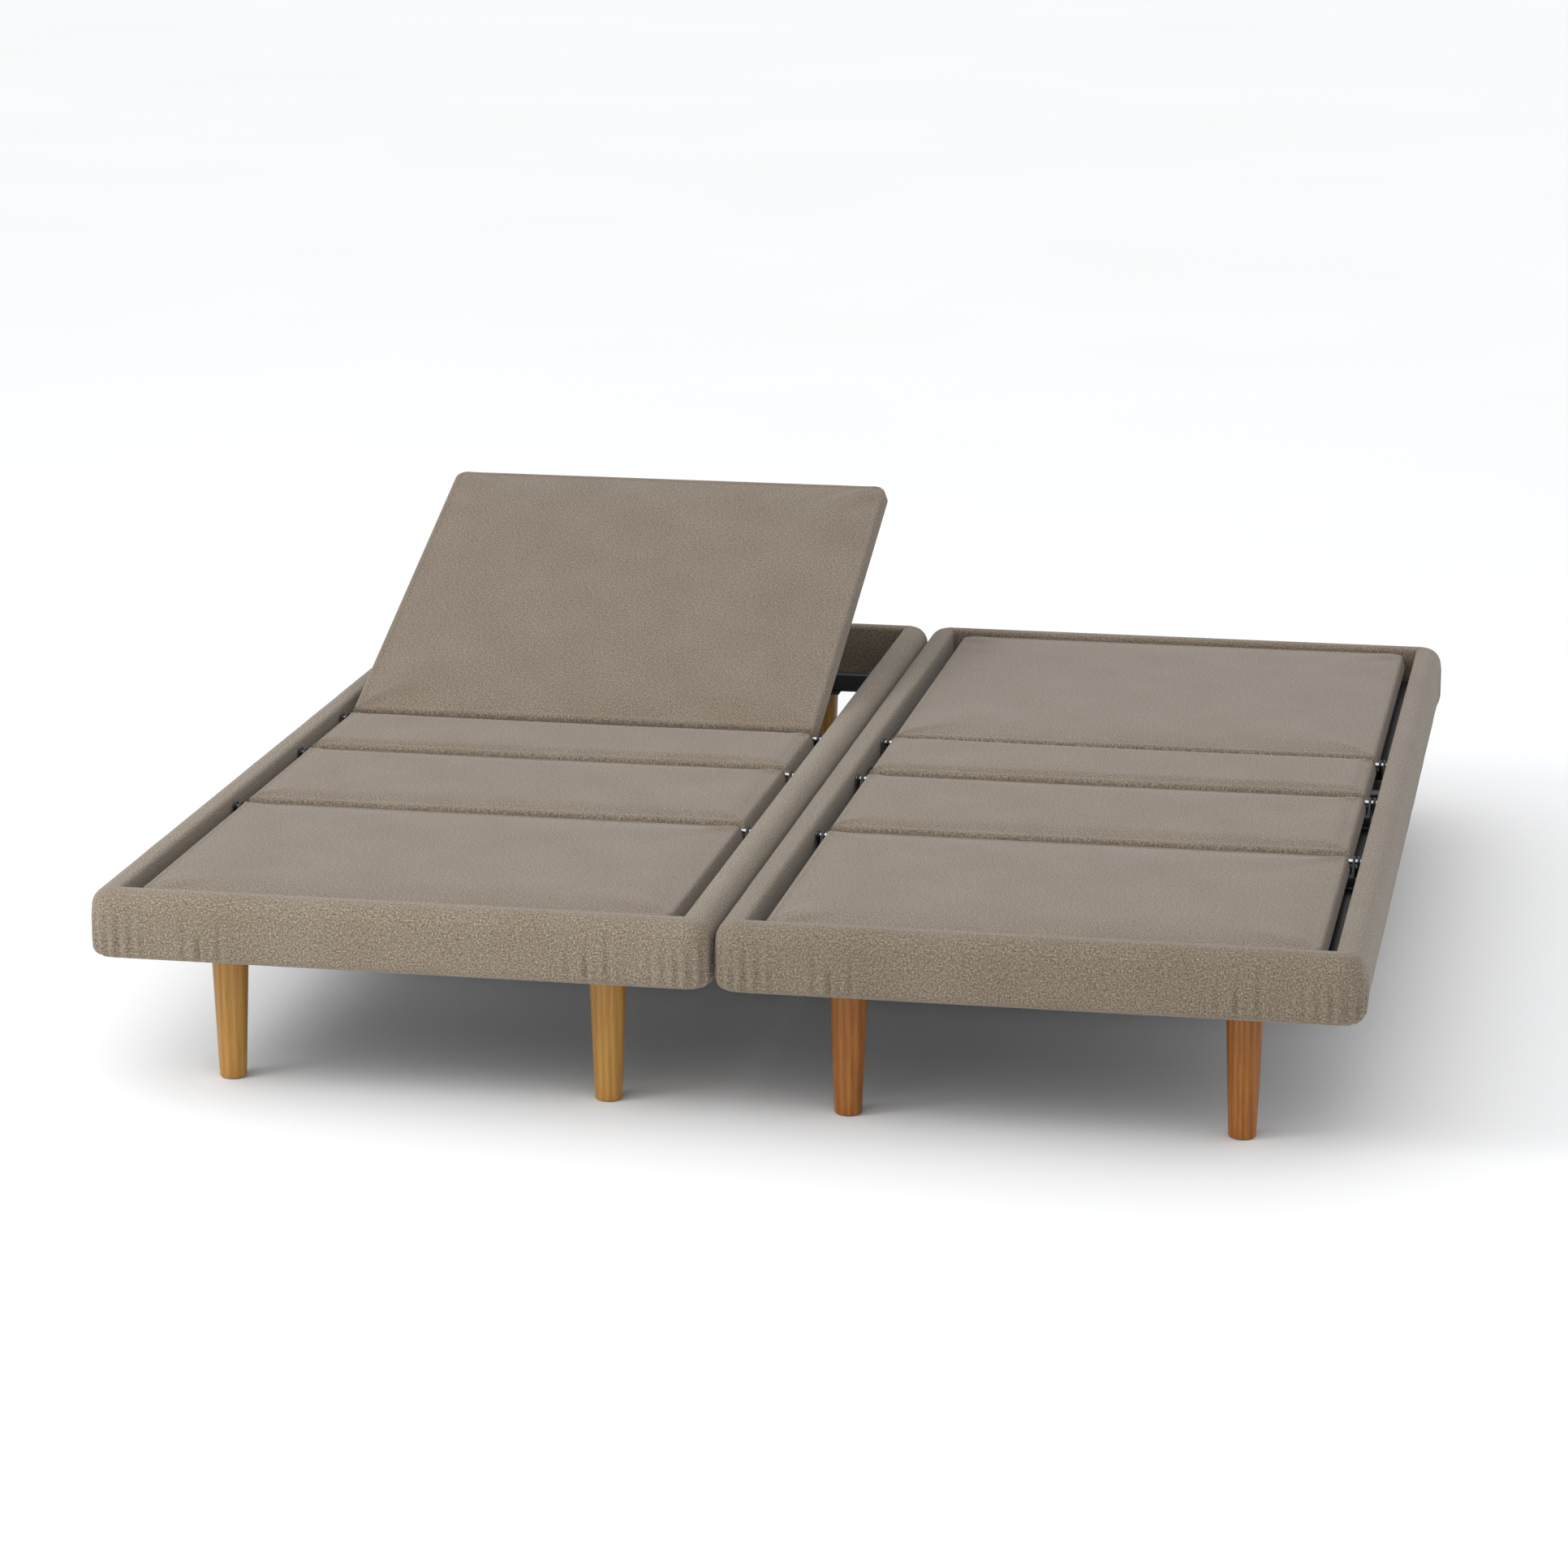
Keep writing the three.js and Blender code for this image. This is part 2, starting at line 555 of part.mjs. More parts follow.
function addUnit(unit) {
  const { side, sign } = unit;
  const whole = new THREE.Group();
  whole.position.x = (sign * (UNIT.width + UNIT.apart)) / 2;
  base.add(whole);

  piece(whole, `${side}_foot_rail`, endRail(-1), oatmeal);
  piece(whole, `${side}_head_rail`, endRail(1), oatmeal);
  piece(whole, `${side}_outer_side_rail`, sideRail(sign), oatmeal);
  piece(whole, `${side}_inner_side_rail`, sideRail(-sign), oatmeal);
  piece(whole, `${side}_chassis`, chassis(), blackSteel);
  piece(whole, `${side}_control_box`, controlBox(), blackPlastic);
  for (const [end, j] of [["foot", -1], ["head", 1]])
    for (const [place, i] of [["outer", sign], ["inner", -sign]])
      piece(whole, `${side}_${end}_${place}_leg`, leg(), rubberwood).position.set(i * legX, j * legY, 0);

  const headStation = new THREE.Group();
  headStation.position.set(0, headHinge, pivotZ);
  whole.add(headStation);
  piece(headStation, `${side}_head_hinge_rod`, hingeRod(), zincSteel);
  const seat = board([-firstEdge - SEAT.length, -firstEdge]);
  piece(headStation, `${side}_seat_board`, seat, deckCloth);
  const headJoint = { kind: "hinge", most: HEAD.most, now: unit.head };
  const head = moving(headStation, `${side}_head_section`, [0, 0], headJoint, unit.head * DEG);
  const headBoard = board([firstEdge, firstEdge + headLength], true);
  piece(head, `${side}_head_board`, headBoard, deckCloth);
  piece(head, `${side}_head_frame`, headFrame(), blackSteel);
  const headMotion = liftMotion(HEAD);
  addLift(headStation, unit, "head", headMotion, unit.head, HEAD.most, `${side}_head_section`);

  const legStation = new THREE.Group();
  legStation.position.set(0, thighHinge, pivotZ);
  legStation.rotation.z = Math.PI; // its +Y looks towards the foot end
  whole.add(legStation);
  piece(legStation, `${side}_thigh_hinge_rod`, hingeRod(), zincSteel);
  const thighJoint = { kind: "hinge", most: LEGS.most, now: unit.legs };
  const thigh = moving(legStation, `${side}_thigh_section`, [0, 0], thighJoint, unit.legs * DEG);
  piece(thigh, `${side}_thigh_board`, board([firstEdge, firstEdge + THIGH.length]), deckCloth);
  piece(thigh, `${side}_thigh_frame`, thighFrame(), blackSteel);
  const follow = { follows: `${side}_thigh_section`, most: LEGS.most, now: unit.legs };
  const footJoint = { kind: "hinge", ...follow, ratio: -KNEE.ratio };
  const footTurn = -KNEE.ratio * unit.legs * DEG;
  const foot = moving(thigh, `${side}_foot_section`, [thighSpan, 0], footJoint, footTurn);
  piece(foot, `${side}_foot_board`, board([firstEdge, firstEdge + FOOT.length], true), deckCloth);
  piece(foot, `${side}_foot_frame`, footFrame(), blackSteel);
  piece(thigh, `${side}_knee_hinge_rod`, hingeRod(), zincSteel).position.set(0, thighSpan, 0);
  const swing = moving(
    legStation,
    `${side}_swing_link`,
    [SWING.from, -SWING.below],
    { kind: "hinge", ...follow, ratio: SWING.ratio },
    SWING.ratio * unit.legs * DEG,
  );
  piece(swing, `${side}_swing_link`, swingLink(), blackSteel);
  const legMotion = liftMotion(LEGS);
  addLift(legStation, unit, "leg", legMotion, unit.legs, LEGS.most, `${side}_thigh_section`);
}

UNITS.forEach(addUnit);

for (const [end, j] of [["foot", -1], ["head", 1]]) {
  const z1 = railBottom - GAP;
  const strapPlate = block(across(JOIN.long / 2), around(j * JOIN.at, JOIN.wide), [z1 - JOIN.thick, z1]);
  piece(base, `${end}_joining_plate`, strapPlate, zincSteel);
}

export default base;
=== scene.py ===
# %% [markdown]
# # A split adjustable bed base
# Two single bed units stand side by side. Each one is an upholstered surround on tapered timber legs, round
# a welded steel chassis. Its deck is four padded boards: head, seat, thigh and foot. Two electric actuators
# turn torque tubes, whose arms lift the head board and the thigh board on nylon rollers.
#
# The frame holds every rigid part at its true size and place, and says how each one moves. This lesson gives
# each part its real surface: cloth over foam, turned timber, powder coat, zinc, moulded plastic and nylon.

# %% Open the frame
import json
import math

import bmesh
import bpy
from mathutils import Matrix, Vector, noise
from mathutils.bvhtree import BVHTree


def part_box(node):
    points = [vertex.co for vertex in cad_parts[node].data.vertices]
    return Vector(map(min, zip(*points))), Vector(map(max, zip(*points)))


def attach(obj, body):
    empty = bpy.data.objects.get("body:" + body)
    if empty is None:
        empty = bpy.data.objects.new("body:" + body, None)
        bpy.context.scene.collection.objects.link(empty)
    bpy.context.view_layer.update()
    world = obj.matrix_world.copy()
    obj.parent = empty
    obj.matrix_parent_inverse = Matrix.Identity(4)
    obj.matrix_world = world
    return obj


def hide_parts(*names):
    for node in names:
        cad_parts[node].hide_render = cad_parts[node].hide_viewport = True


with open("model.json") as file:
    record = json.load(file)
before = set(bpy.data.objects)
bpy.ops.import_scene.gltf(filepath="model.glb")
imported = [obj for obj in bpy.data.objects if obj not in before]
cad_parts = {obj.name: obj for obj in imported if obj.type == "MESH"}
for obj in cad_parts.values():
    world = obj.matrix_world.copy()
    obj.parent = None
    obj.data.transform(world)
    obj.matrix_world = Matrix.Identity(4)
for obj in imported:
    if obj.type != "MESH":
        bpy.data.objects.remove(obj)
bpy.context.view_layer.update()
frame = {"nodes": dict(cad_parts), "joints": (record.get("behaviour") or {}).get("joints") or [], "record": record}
joints = {joint["name"]: joint for joint in frame["joints"]}
couplings = {c["joint"]: c["ratio"] for c in frame["record"]["behaviour"]["couplings"]}
MM = 0.001
SIDES = ("left", "right")

# %% [markdown]
# ## Where each part sits
# Every moving part is drawn in its own flat place, with its pivot at the origin and its length along +Y, and
# then carried to where the frame holds it at rest. The head group looks towards +Y and the leg group towards
# -Y, so one drawing serves both. A section's joint range starts flat, so its lower limit tells how far the
# section is already raised.

# %% Places of the moving parts
def pivot(joint):
    return Vector(joints[joint]["pos_m"])


def raised(joint):
    return -math.radians(joints[joint]["range_deg"][0])


def looking(origin, towards, sideways):
    """A place whose +Y points towards a direction in the YZ plane and whose +X is along sideways."""
    x = Vector((sideways, 0, 0))
    y = Vector(towards).normalized()
    z = x.cross(y)
    turned = Matrix((x, y, z)).transposed().to_4x4()
    return Matrix.Translation(origin) @ turned


def leaning(origin, angle, sideways):
    """A place looking to the head end or the foot end, tipped up by an angle."""
    return looking(origin, (0, sideways * math.cos(angle), math.sin(angle)), sideways)


FACING = {"head": 1, "leg": -1}
STUD = Vector((0, 200 * MM, -46 * MM))  # the foot frame's stud, from the knee
places = {}
for side in SIDES:
    head_up = raised(f"{side}_head_lift")
    thigh_up = raised(f"{side}_leg_lift")
    foot_up = thigh_up * (1 + couplings[f"{side}_knee_bend"])
    places[f"{side}_head_section"] = leaning(pivot(f"{side}_head_lift"), head_up, 1)
    places[f"{side}_thigh_section"] = leaning(pivot(f"{side}_leg_lift"), thigh_up, -1)
    places[f"{side}_foot_section"] = leaning(pivot(f"{side}_knee_bend"), foot_up, -1)
    for group, facing in FACING.items():
        tube = pivot(f"{side}_{group}_arm_turn")
        roller = pivot(f"{side}_{group}_roller_spin")
        places[f"{side}_{group}_lift_arm"] = looking(tube, roller - tube, facing)
        places[f"{side}_{group}_rollers"] = looking(roller, (0, facing, 0), facing)
        push = joints[f"{side}_{group}_actuator_stroke"]["axis"]
        places[f"{side}_{group}_actuator"] = looking(pivot(f"{side}_{group}_actuator_tilt"), push, facing)
    link = pivot(f"{side}_swing_link_turn")
    stud = places[f"{side}_foot_section"] @ STUD
    link.x = stud.x
    places[f"{side}_swing_link"] = looking(link, stud - link, -1)
print(len(places), "moving parts have a place")

# %% [markdown]
# ## Mesh helpers
# Sizes from here on are in millimetres. A drawing is a bmesh: round things are turned from a profile, sheet
# metal is cut from outlines, and moulded things are boxes with eased edges. `keep` carries a drawing to its
# place, gives it smooth shading that stays crisp at real edges, and ties it to the frame.

# %% Drawing round, boxed and cut shapes
SHARP = math.radians(38)


def turned(drawing, profile, axis="X", centre=(0, 0, 0), segments=48):
    """A closed round solid from (place along the axis, radius) points. Radius 0 closes an end."""
    rings = []
    for along, radius in profile:
        count = segments if radius else 1
        ring = []
        for i in range(count):
            angle = 2 * math.pi * i / segments
            a, b = radius * math.cos(angle), radius * math.sin(angle)
            spot = {"X": (along, a, b), "Y": (b, along, a), "Z": (a, b, along)}[axis]
            ring.append(drawing.verts.new(Vector(spot) + Vector(centre)))
        rings.append(ring)
    for low, high in zip(rings, rings[1:]):
        for i in range(segments):
            j = (i + 1) % segments
            corners = [low[i % len(low)], high[i % len(high)], high[j % len(high)], low[j % len(low)]]
            face = list(dict.fromkeys(corners))
            if len(face) > 2:
                drawing.faces.new(face)
    return drawing


def bar(drawing, radius, start, end, axis="X", centre=(0, 0, 0), ease=0.6, segments=32):
    """A round bar with eased ends."""
    profile = [(start, 0), (start, radius - ease), (start + ease, radius)]
    profile += [(end - ease, radius), (end, radius - ease), (end, 0)]
    return turned(drawing, profile, axis, centre, segments)


def box(drawing, x, y, z, ease=1.0, segments=2):
    """A box between three ranges with rounded edges."""
    made = bmesh.ops.create_cube(drawing, size=1)["verts"]
    for vert in made:
        vert.co = [low if c < 0 else high for c, (low, high) in zip(vert.co, (x, y, z))]
    edges = list(dict.fromkeys(edge for vert in made for edge in vert.link_edges))
    if ease:
        bmesh.ops.bevel(drawing, geom=edges, offset=ease, segments=segments, profile=0.5, affect="EDGES")
    return drawing


def arc(centre, radius, start, end, steps=14):
    cy, cz = centre
    turns = [start + (end - start) * i / steps for i in range(steps + 1)]
    return [(cy + radius * math.cos(t), cz + radius * math.sin(t)) for t in turns]


def ring(centre, radius):
    return arc(centre, radius, 0, 2 * math.pi, 28)[:-1]


def strap(p, rp, q, rq=None):
    """The outline round two circles, in Y and Z."""
    rq = rp if rq is None else rq
    along = math.atan2(q[1] - p[1], q[0] - p[0])
    lean = math.acos((rp - rq) / math.dist(p, q))
    near = arc(p, rp, along + lean, along - lean + 2 * math.pi)
    return near + arc(q, rq, along - lean, along + lean)


def cut(drawing, outlines, x, ease=0.5):
    """Sheet metal between two X places, cut to outlines in Y and Z. Later outlines are holes."""
    flat = bpy.data.curves.new("sheet", "CURVE")
    flat.dimensions = "2D"
    flat.fill_mode = "BOTH"
    flat.extrude = (x[1] - x[0]) / 2 - ease
    flat.bevel_depth = ease
    flat.bevel_resolution = 1
    flat.offset = -ease
    for outline in outlines:
        spline = flat.splines.new("POLY")
        spline.points.add(len(outline) - 1)
        spline.use_cyclic_u = True
        for point, (y, z) in zip(spline.points, outline):
            point.co = (y, z, 0, 1)
    sheet = bpy.data.objects.new("sheet", flat)
    mesh = bpy.data.meshes.new_from_object(sheet)
    upright = Matrix(((0, 0, 1, (x[0] + x[1]) / 2), (1, 0, 0, 0), (0, 1, 0, 0), (0, 0, 0, 1)))
    mesh.transform(upright)
    before = len(drawing.verts)
    drawing.from_mesh(mesh)
    drawing.verts.ensure_lookup_table()
    bmesh.ops.remove_doubles(drawing, verts=drawing.verts[before:], dist=0.01)
    bpy.data.objects.remove(sheet)
    bpy.data.curves.remove(flat)
    bpy.data.meshes.remove(mesh)
    return drawing


def both(half):
    return (-half, half)


def mirrored(low, high):
    """The same range on both sides of the middle."""
    return ((low, high), (-high, -low))


print("shapes can be turned, boxed, cut and strapped")

# %% Keep a drawing as a piece
def keep(name, drawing, material, body, place=None, stands_for=()):
    """Makes a drawing a piece of the object, in its place on a body of the frame."""
    bmesh.ops.recalc_face_normals(drawing, faces=drawing.faces)
    mesh = bpy.data.meshes.new(name)
    drawing.to_mesh(mesh)
    drawing.free()
    mesh.transform((place or Matrix.Identity(4)) @ Matrix.Scale(MM, 4))
    return keep_mesh(name, mesh, material, body, stands_for)


def keep_mesh(name, mesh, material, body, stands_for=()):
    mesh.polygons.foreach_set("use_smooth", [True] * len(mesh.polygons))
    mesh.set_sharp_from_angle(angle=SHARP)
    if not mesh.materials:
        mesh.materials.append(material)
    piece = bpy.data.objects.new(name, mesh)
    bpy.context.scene.collection.objects.link(piece)
    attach(piece, body)
    if stands_for:
        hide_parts(*stands_for)
    return piece


def eased_copy(node, name, material, body, ease):
    """A copy of a frame part with its edges rounded, as folded and welded steel has."""
    drawing = bmesh.new()
    drawing.from_mesh(frame["nodes"][node].data)
    bmesh.ops.remove_doubles(drawing, verts=drawing.verts, dist=0.01 * MM)
    flat = math.radians(1)
    bmesh.ops.dissolve_limit(drawing, angle_limit=flat, verts=drawing.verts, edges=drawing.edges)
    mesh = bpy.data.meshes.new(name)
    drawing.to_mesh(mesh)
    drawing.free()
    rough = bpy.data.objects.new(name + "_rough", mesh)
    bpy.context.scene.collection.objects.link(rough)
    bevel = rough.modifiers.new("ease", "BEVEL")
    bevel.width = ease * MM
    bevel.segments = 2
    bevel.limit_method = "ANGLE"
    bevel.angle_limit = math.radians(50)
    bevel.use_clamp_overlap = True
    bpy.context.view_layer.update()
    graph = bpy.context.evaluated_depsgraph_get()
    eased = bpy.data.meshes.new_from_object(rough.evaluated_get(graph))
    bpy.data.objects.remove(rough)
    eased.name = name
    return keep_mesh(name, eased, material, body, (node,))


# %% [markdown]
# ## Materials
# A material here starts from what the real surface is and how it was made. Colours are written as the hex
# values a paint card would give, and one function turns them to the linear numbers that light needs. One
# small function adds a node, with its settings, values and links. Scales are worked out from real sizes.

# %% Colour and node helpers
def linear(hex_colour):
    values = [int(hex_colour[i : i + 2], 16) / 255 for i in (1, 3, 5)]
    return [v / 12.92 if v <= 0.04045 else ((v + 0.055) / 1.055) ** 2.4 for v in values] + [1]


def add(tree, kind, inputs=None, stops=(), **settings):
    """Adds a node. An input is a value or a socket to link from. Stops are a ramp's (place, hex colour)."""
    made = tree.nodes.new(kind)
    for name, value in settings.items():
        setattr(made, name, value)
    for name, value in (inputs or {}).items():
        if isinstance(value, bpy.types.NodeSocket):
            tree.links.new(value, made.inputs[name])
        else:
            made.inputs[name].default_value = value
    for index, (place, colour) in enumerate(stops):
        elements = made.color_ramp.elements
        element = elements[index] if index < 2 else elements.new(place)
        element.position = place
        element.color = linear(colour)
    return made


def material(name, **values):
    """A material, its node tree and its shader, with numbers set on the shader's own sockets."""
    made = bpy.data.materials.new(name)
    made.use_nodes = True
    shader = made.node_tree.nodes["Principled BSDF"]
    for socket, value in values.items():
        shader.inputs[socket.replace("_", " ")].default_value = value
    return made, made.node_tree, shader


print("materials can be mixed")

# %% [markdown]
# ### Melange linen
# The surround and the deck are covered in a plain weave of oatmeal, sand and brown fibres that were mixed
# before spinning, so each thread changes tone every few millimetres. Real threads lie about 0.8 mm apart.
# That is too fine for a picture of the whole bed, so they are drawn 1.7 mm apart, with flecks of tone about
# 2.7 mm across. The pattern is laid on each piece's own UV map, which is in metres, so the threads follow the
# cloth round every edge. The right unit's cover is the same cloth with its tones painted slightly darker: painted
# shade on that unit.

# %% Melange linen
THREAD = 1.7 * MM
FLECK = 2.7 * MM


def melange_linen(name, tones, shade):
    made, tree, shader = material(
        name, Roughness=0.92, Sheen_Weight=0.22, Sheen_Roughness=0.45, Specular_IOR_Level=0.25
    )
    where = add(tree, "ShaderNodeTexCoord").outputs["UV"]
    threads = add(tree, "ShaderNodeMapping", {"Vector": where, "Scale": (1 / THREAD, 1 / THREAD, 1)})
    split = add(tree, "ShaderNodeSeparateXYZ", {"Vector": threads.outputs[0]})
    over = add(tree, "ShaderNodeTexChecker", {"Vector": threads.outputs[0], "Scale": 1.0}).outputs["Fac"]
    yarns = []
    flecks = add(
        tree, "ShaderNodeTexNoise", {"Vector": where, "Scale": 1 / FLECK, "Detail": 3.0, "Roughness": 0.75}
    )
    for stretch in ((1.0, 0.34, 1.0), (0.34, 1.0, 1.0)):
        run = add(tree, "ShaderNodeMapping", {"Vector": threads.outputs[0], "Scale": stretch})
        fibres = add(
            tree,
            "ShaderNodeTexNoise",
            {"Vector": run.outputs[0], "Scale": 0.9, "Detail": 3.0, "Roughness": 0.7},
        )
        mixed = {0: 0.55, 2: fibres.outputs["Fac"], 3: flecks.outputs["Fac"]}
        tone = {"Fac": add(tree, "ShaderNodeMix", mixed, data_type="FLOAT").outputs[0]}
        stops = zip((0.38, 0.47, 0.54, 0.63), tones)
        yarns.append(add(tree, "ShaderNodeValToRGB", tone, stops).outputs[0])
    woven = add(
        tree, "ShaderNodeMix", {0: over, 6: yarns[0], 7: yarns[1]}, data_type="RGBA"
    ).outputs[2]
    cloud = add(tree, "ShaderNodeTexNoise", {"Vector": where, "Scale": 9.0, "Detail": 2.0}).outputs["Fac"]
    fade = add(tree, "ShaderNodeValToRGB", {"Fac": cloud}, ((0.3, shade[0]), (0.7, shade[1]))).outputs[0]
    colour = add(
        tree, "ShaderNodeMix", {0: 1.0, 6: woven, 7: fade}, data_type="RGBA", blend_type="MULTIPLY"
    ).outputs[2]
    tree.links.new(colour, shader.inputs["Base Color"])
    waves = []
    for direction in split.outputs[:2]:
        turn = add(tree, "ShaderNodeMath", {0: direction, 1: math.pi}, operation="MULTIPLY").outputs[0]
        wave = add(tree, "ShaderNodeMath", {0: turn}, operation="SINE").outputs[0]
        waves.append(add(tree, "ShaderNodeMath", {0: wave}, operation="ABSOLUTE").outputs[0])
    relief = add(tree, "ShaderNodeMix", {0: over, 2: waves[0], 3: waves[1]}, data_type="FLOAT").outputs[0]
    slub = add(tree, "ShaderNodeTexNoise", {"Vector": threads.outputs[0], "Scale": 0.45, "Detail": 2.0})
    knobbly = {0: slub.outputs["Fac"], 1: 0.9, 2: relief}
    height = add(tree, "ShaderNodeMath", knobbly, operation="MULTIPLY_ADD").outputs[0]
    bump = add(tree, "ShaderNodeBump", {"Height": height, "Strength": 0.38, "Distance": 0.5 * MM})
    tree.links.new(bump.outputs[0], shader.inputs["Normal"])
    return made


RAIL_SHADE = ("#F6F4F1", "#FFFFFF")
rail_linen = {
    "left": melange_linen(
        "melange_linen_surround", ("#53493E", "#75695A", "#918575", "#B4AA99"), RAIL_SHADE
    ),
    # The right unit's cover tones are the left unit's painted darker: painted shade.
    "right": melange_linen(
        "melange_linen_surround_painted_shade", ("#4E443A", "#6E6254", "#887C6C", "#A99F8E"), RAIL_SHADE
    ),
}
deck_linen = melange_linen(
    "melange_linen_deck", ("#564C41", "#726659", "#897D6E", "#A69B8B"), ("#F4F1EE", "#FFFFFF")
)
print("made", [cloth.name for cloth in rail_linen.values()], "and", deck_linen.name)

# %% [markdown]
# ### Lacquered rubberwood
# The legs are turned from rubberwood and lacquered: a straight, close grain with short brown pores, warm
# honey in colour, under a thin satin coat. The growth rings show as soft, wandering bands about 10 mm apart,
# and the pores are streaks 0.6 mm wide and 11 mm long. The right unit's legs are a browner wood than the
# left unit's, and their tones are also painted darker: painted shade on that unit.

# %% Lacquered rubberwood
GRAIN = 5 * MM  # the unit that the bands and the streaks are laid in
PORES = (1700, 1700, 90)  # in a metre, across the grain twice and then along it


def rubberwood(name, tones, pore):
    made, tree, shader = material(
        name, Roughness=0.45, Coat_Weight=0.10, Coat_Roughness=0.28, Specular_IOR_Level=0.32
    )
    where = add(tree, "ShaderNodeTexCoord").outputs["Object"]
    grain = add(tree, "ShaderNodeMapping", {"Vector": where, "Scale": (1 / GRAIN, 1 / GRAIN, 0.045 / GRAIN)})
    drift = add(tree, "ShaderNodeTexNoise", {"Vector": grain.outputs[0], "Scale": 0.35, "Detail": 3.0})
    bent = add(
        tree, "ShaderNodeVectorMath", {0: grain.outputs[0], 1: drift.outputs["Color"]}, operation="ADD"
    )
    rings = add(
        tree,
        "ShaderNodeTexWave",
        {"Vector": bent.outputs[0], "Scale": 0.15, "Distortion": 9.0, "Detail": 3.0, "Detail Scale": 0.35},
        bands_direction="X",
    ).outputs["Fac"]
    streaks = add(tree, "ShaderNodeTexNoise", {"Vector": grain.outputs[0], "Scale": 1.5, "Detail": 4.0})
    mixed = add(tree, "ShaderNodeMix", {0: 0.7, 2: rings, 3: streaks.outputs["Fac"]}, data_type="FLOAT")
    stops = zip((0.22, 0.45, 0.62, 0.85), tones)
    wood = add(tree, "ShaderNodeValToRGB", {"Fac": mixed.outputs[0]}, stops).outputs[0]
    long_pores = add(tree, "ShaderNodeMapping", {"Vector": where, "Scale": PORES})
    spots = add(tree, "ShaderNodeTexNoise", {"Vector": long_pores.outputs[0], "Scale": 1.0, "Detail": 1.0})
    pores = add(
        tree,
        "ShaderNodeMapRange",
        {"Value": spots.outputs["Fac"], "From Min": 0.60, "From Max": 0.74, "To Max": 0.4},
    ).outputs[0]
    colour = add(tree, "ShaderNodeMix", {0: pores, 6: wood, 7: linear(pore)}, data_type="RGBA").outputs[2]
    tree.links.new(colour, shader.inputs["Base Color"])
    bump = add(
        tree,
        "ShaderNodeBump",
        {"Height": pores, "Strength": 0.25, "Distance": 0.2 * MM},
        invert=True,
    )
    tree.links.new(bump.outputs[0], shader.inputs["Normal"])
    return made


leg_wood = {
    "left": rubberwood(
        "lacquered_rubberwood_pale", ("#986D31", "#A47736", "#AE803C", "#B98E47"), "#7A5021"
    ),
    # The right unit's tones are a browner wood, and are also painted darker as painted shade.
    "right": rubberwood(
        "lacquered_rubberwood_brown_painted_shade", ("#7C4716", "#8E551B", "#995F20", "#A66C28"), "#5A3410"
    ),
}
print("made", [wood.name for wood in leg_wood.values()])

# %% [markdown]
# ### Metals and plastics
# Powder coat is sprayed dry and baked, which leaves a fine orange peel. Zinc plate is soft grey with faint
# cloudy spangle. The actuator housings are glass filled nylon with a spark eroded grain, black like the
# control box. The rollers are natural nylon, a milky white that lets a little light in.

# %% Metals and plastics
def grained(name, colour, grit, relief, tone=0.12, **values):
    """A surface with a fine random relief of a given grit size, and a slow change in gloss."""
    made, tree, shader = material(name, **values)
    where = add(tree, "ShaderNodeTexCoord").outputs["Object"]
    fine = add(tree, "ShaderNodeTexNoise", {"Vector": where, "Scale": 1 / (grit * MM), "Detail": 2.0})
    slow = add(tree, "ShaderNodeTexNoise", {"Vector": where, "Scale": 14.0, "Detail": 3.0})
    darker = [c * (1 - tone) for c in linear(colour)[:3]] + [1]
    lighter = [min(1, c * (1 + tone)) for c in linear(colour)[:3]] + [1]
    blend = add(tree, "ShaderNodeMix", {0: slow.outputs["Fac"], 6: darker, 7: lighter}, data_type="RGBA")
    tree.links.new(blend.outputs[2], shader.inputs["Base Color"])
    base = values.get("Roughness", 0.5)
    gloss = add(
        tree,
        "ShaderNodeMapRange",
        {"Value": slow.outputs["Fac"], "To Min": base - 0.06, "To Max": base + 0.06},
    )
    tree.links.new(gloss.outputs[0], shader.inputs["Roughness"])
    bump = add(
        tree, "ShaderNodeBump", {"Height": fine.outputs["Fac"], "Strength": 0.4, "Distance": relief * MM}
    )
    tree.links.new(bump.outputs[0], shader.inputs["Normal"])
    return made


powder_coat = grained("powder_coated_steel", "#232427", 1.2, 0.12, Roughness=0.46, Specular_IOR_Level=0.5)
zinc = grained("zinc_plated_steel", "#B9BCBD", 2.5, 0.03, 0.10, Roughness=0.34, Metallic=1.0)
ground_steel = grained("ground_steel", "#C9CBCC", 0.8, 0.01, 0.05, Roughness=0.16, Metallic=1.0)
anodised = grained("anodised_aluminium", "#8E9194", 1.0, 0.02, 0.06, Roughness=0.38, Metallic=1.0)
black_nylon = grained("glass_filled_nylon", "#1D1E20", 0.7, 0.08, Roughness=0.52)
box_plastic = grained("moulded_abs", "#1B1C1E", 0.5, 0.05, Roughness=0.47)
white_nylon = grained(
    "natural_nylon", "#DAD9D1", 3.0, 0.02, 0.04, Roughness=0.40, Subsurface_Weight=0.1, Subsurface_Scale=0.004
)
felt = grained("wool_felt", "#4A4643", 0.9, 0.5, 0.25, Roughness=0.97, Sheen_Weight=0.3)
thread = grained("polyester_thread", "#8F8272", 0.6, 0.08, 0.12, Roughness=0.7, Sheen_Weight=0.2)
print("made", len(bpy.data.materials), "materials so far")

# %% [markdown]
# ### Spunbond backing
# Under each board the upholsterer staples a black spunbond cloth that keeps dust out. Its fibres are welded
# together in a grid of small diamond dimples about 2.5 mm apart.

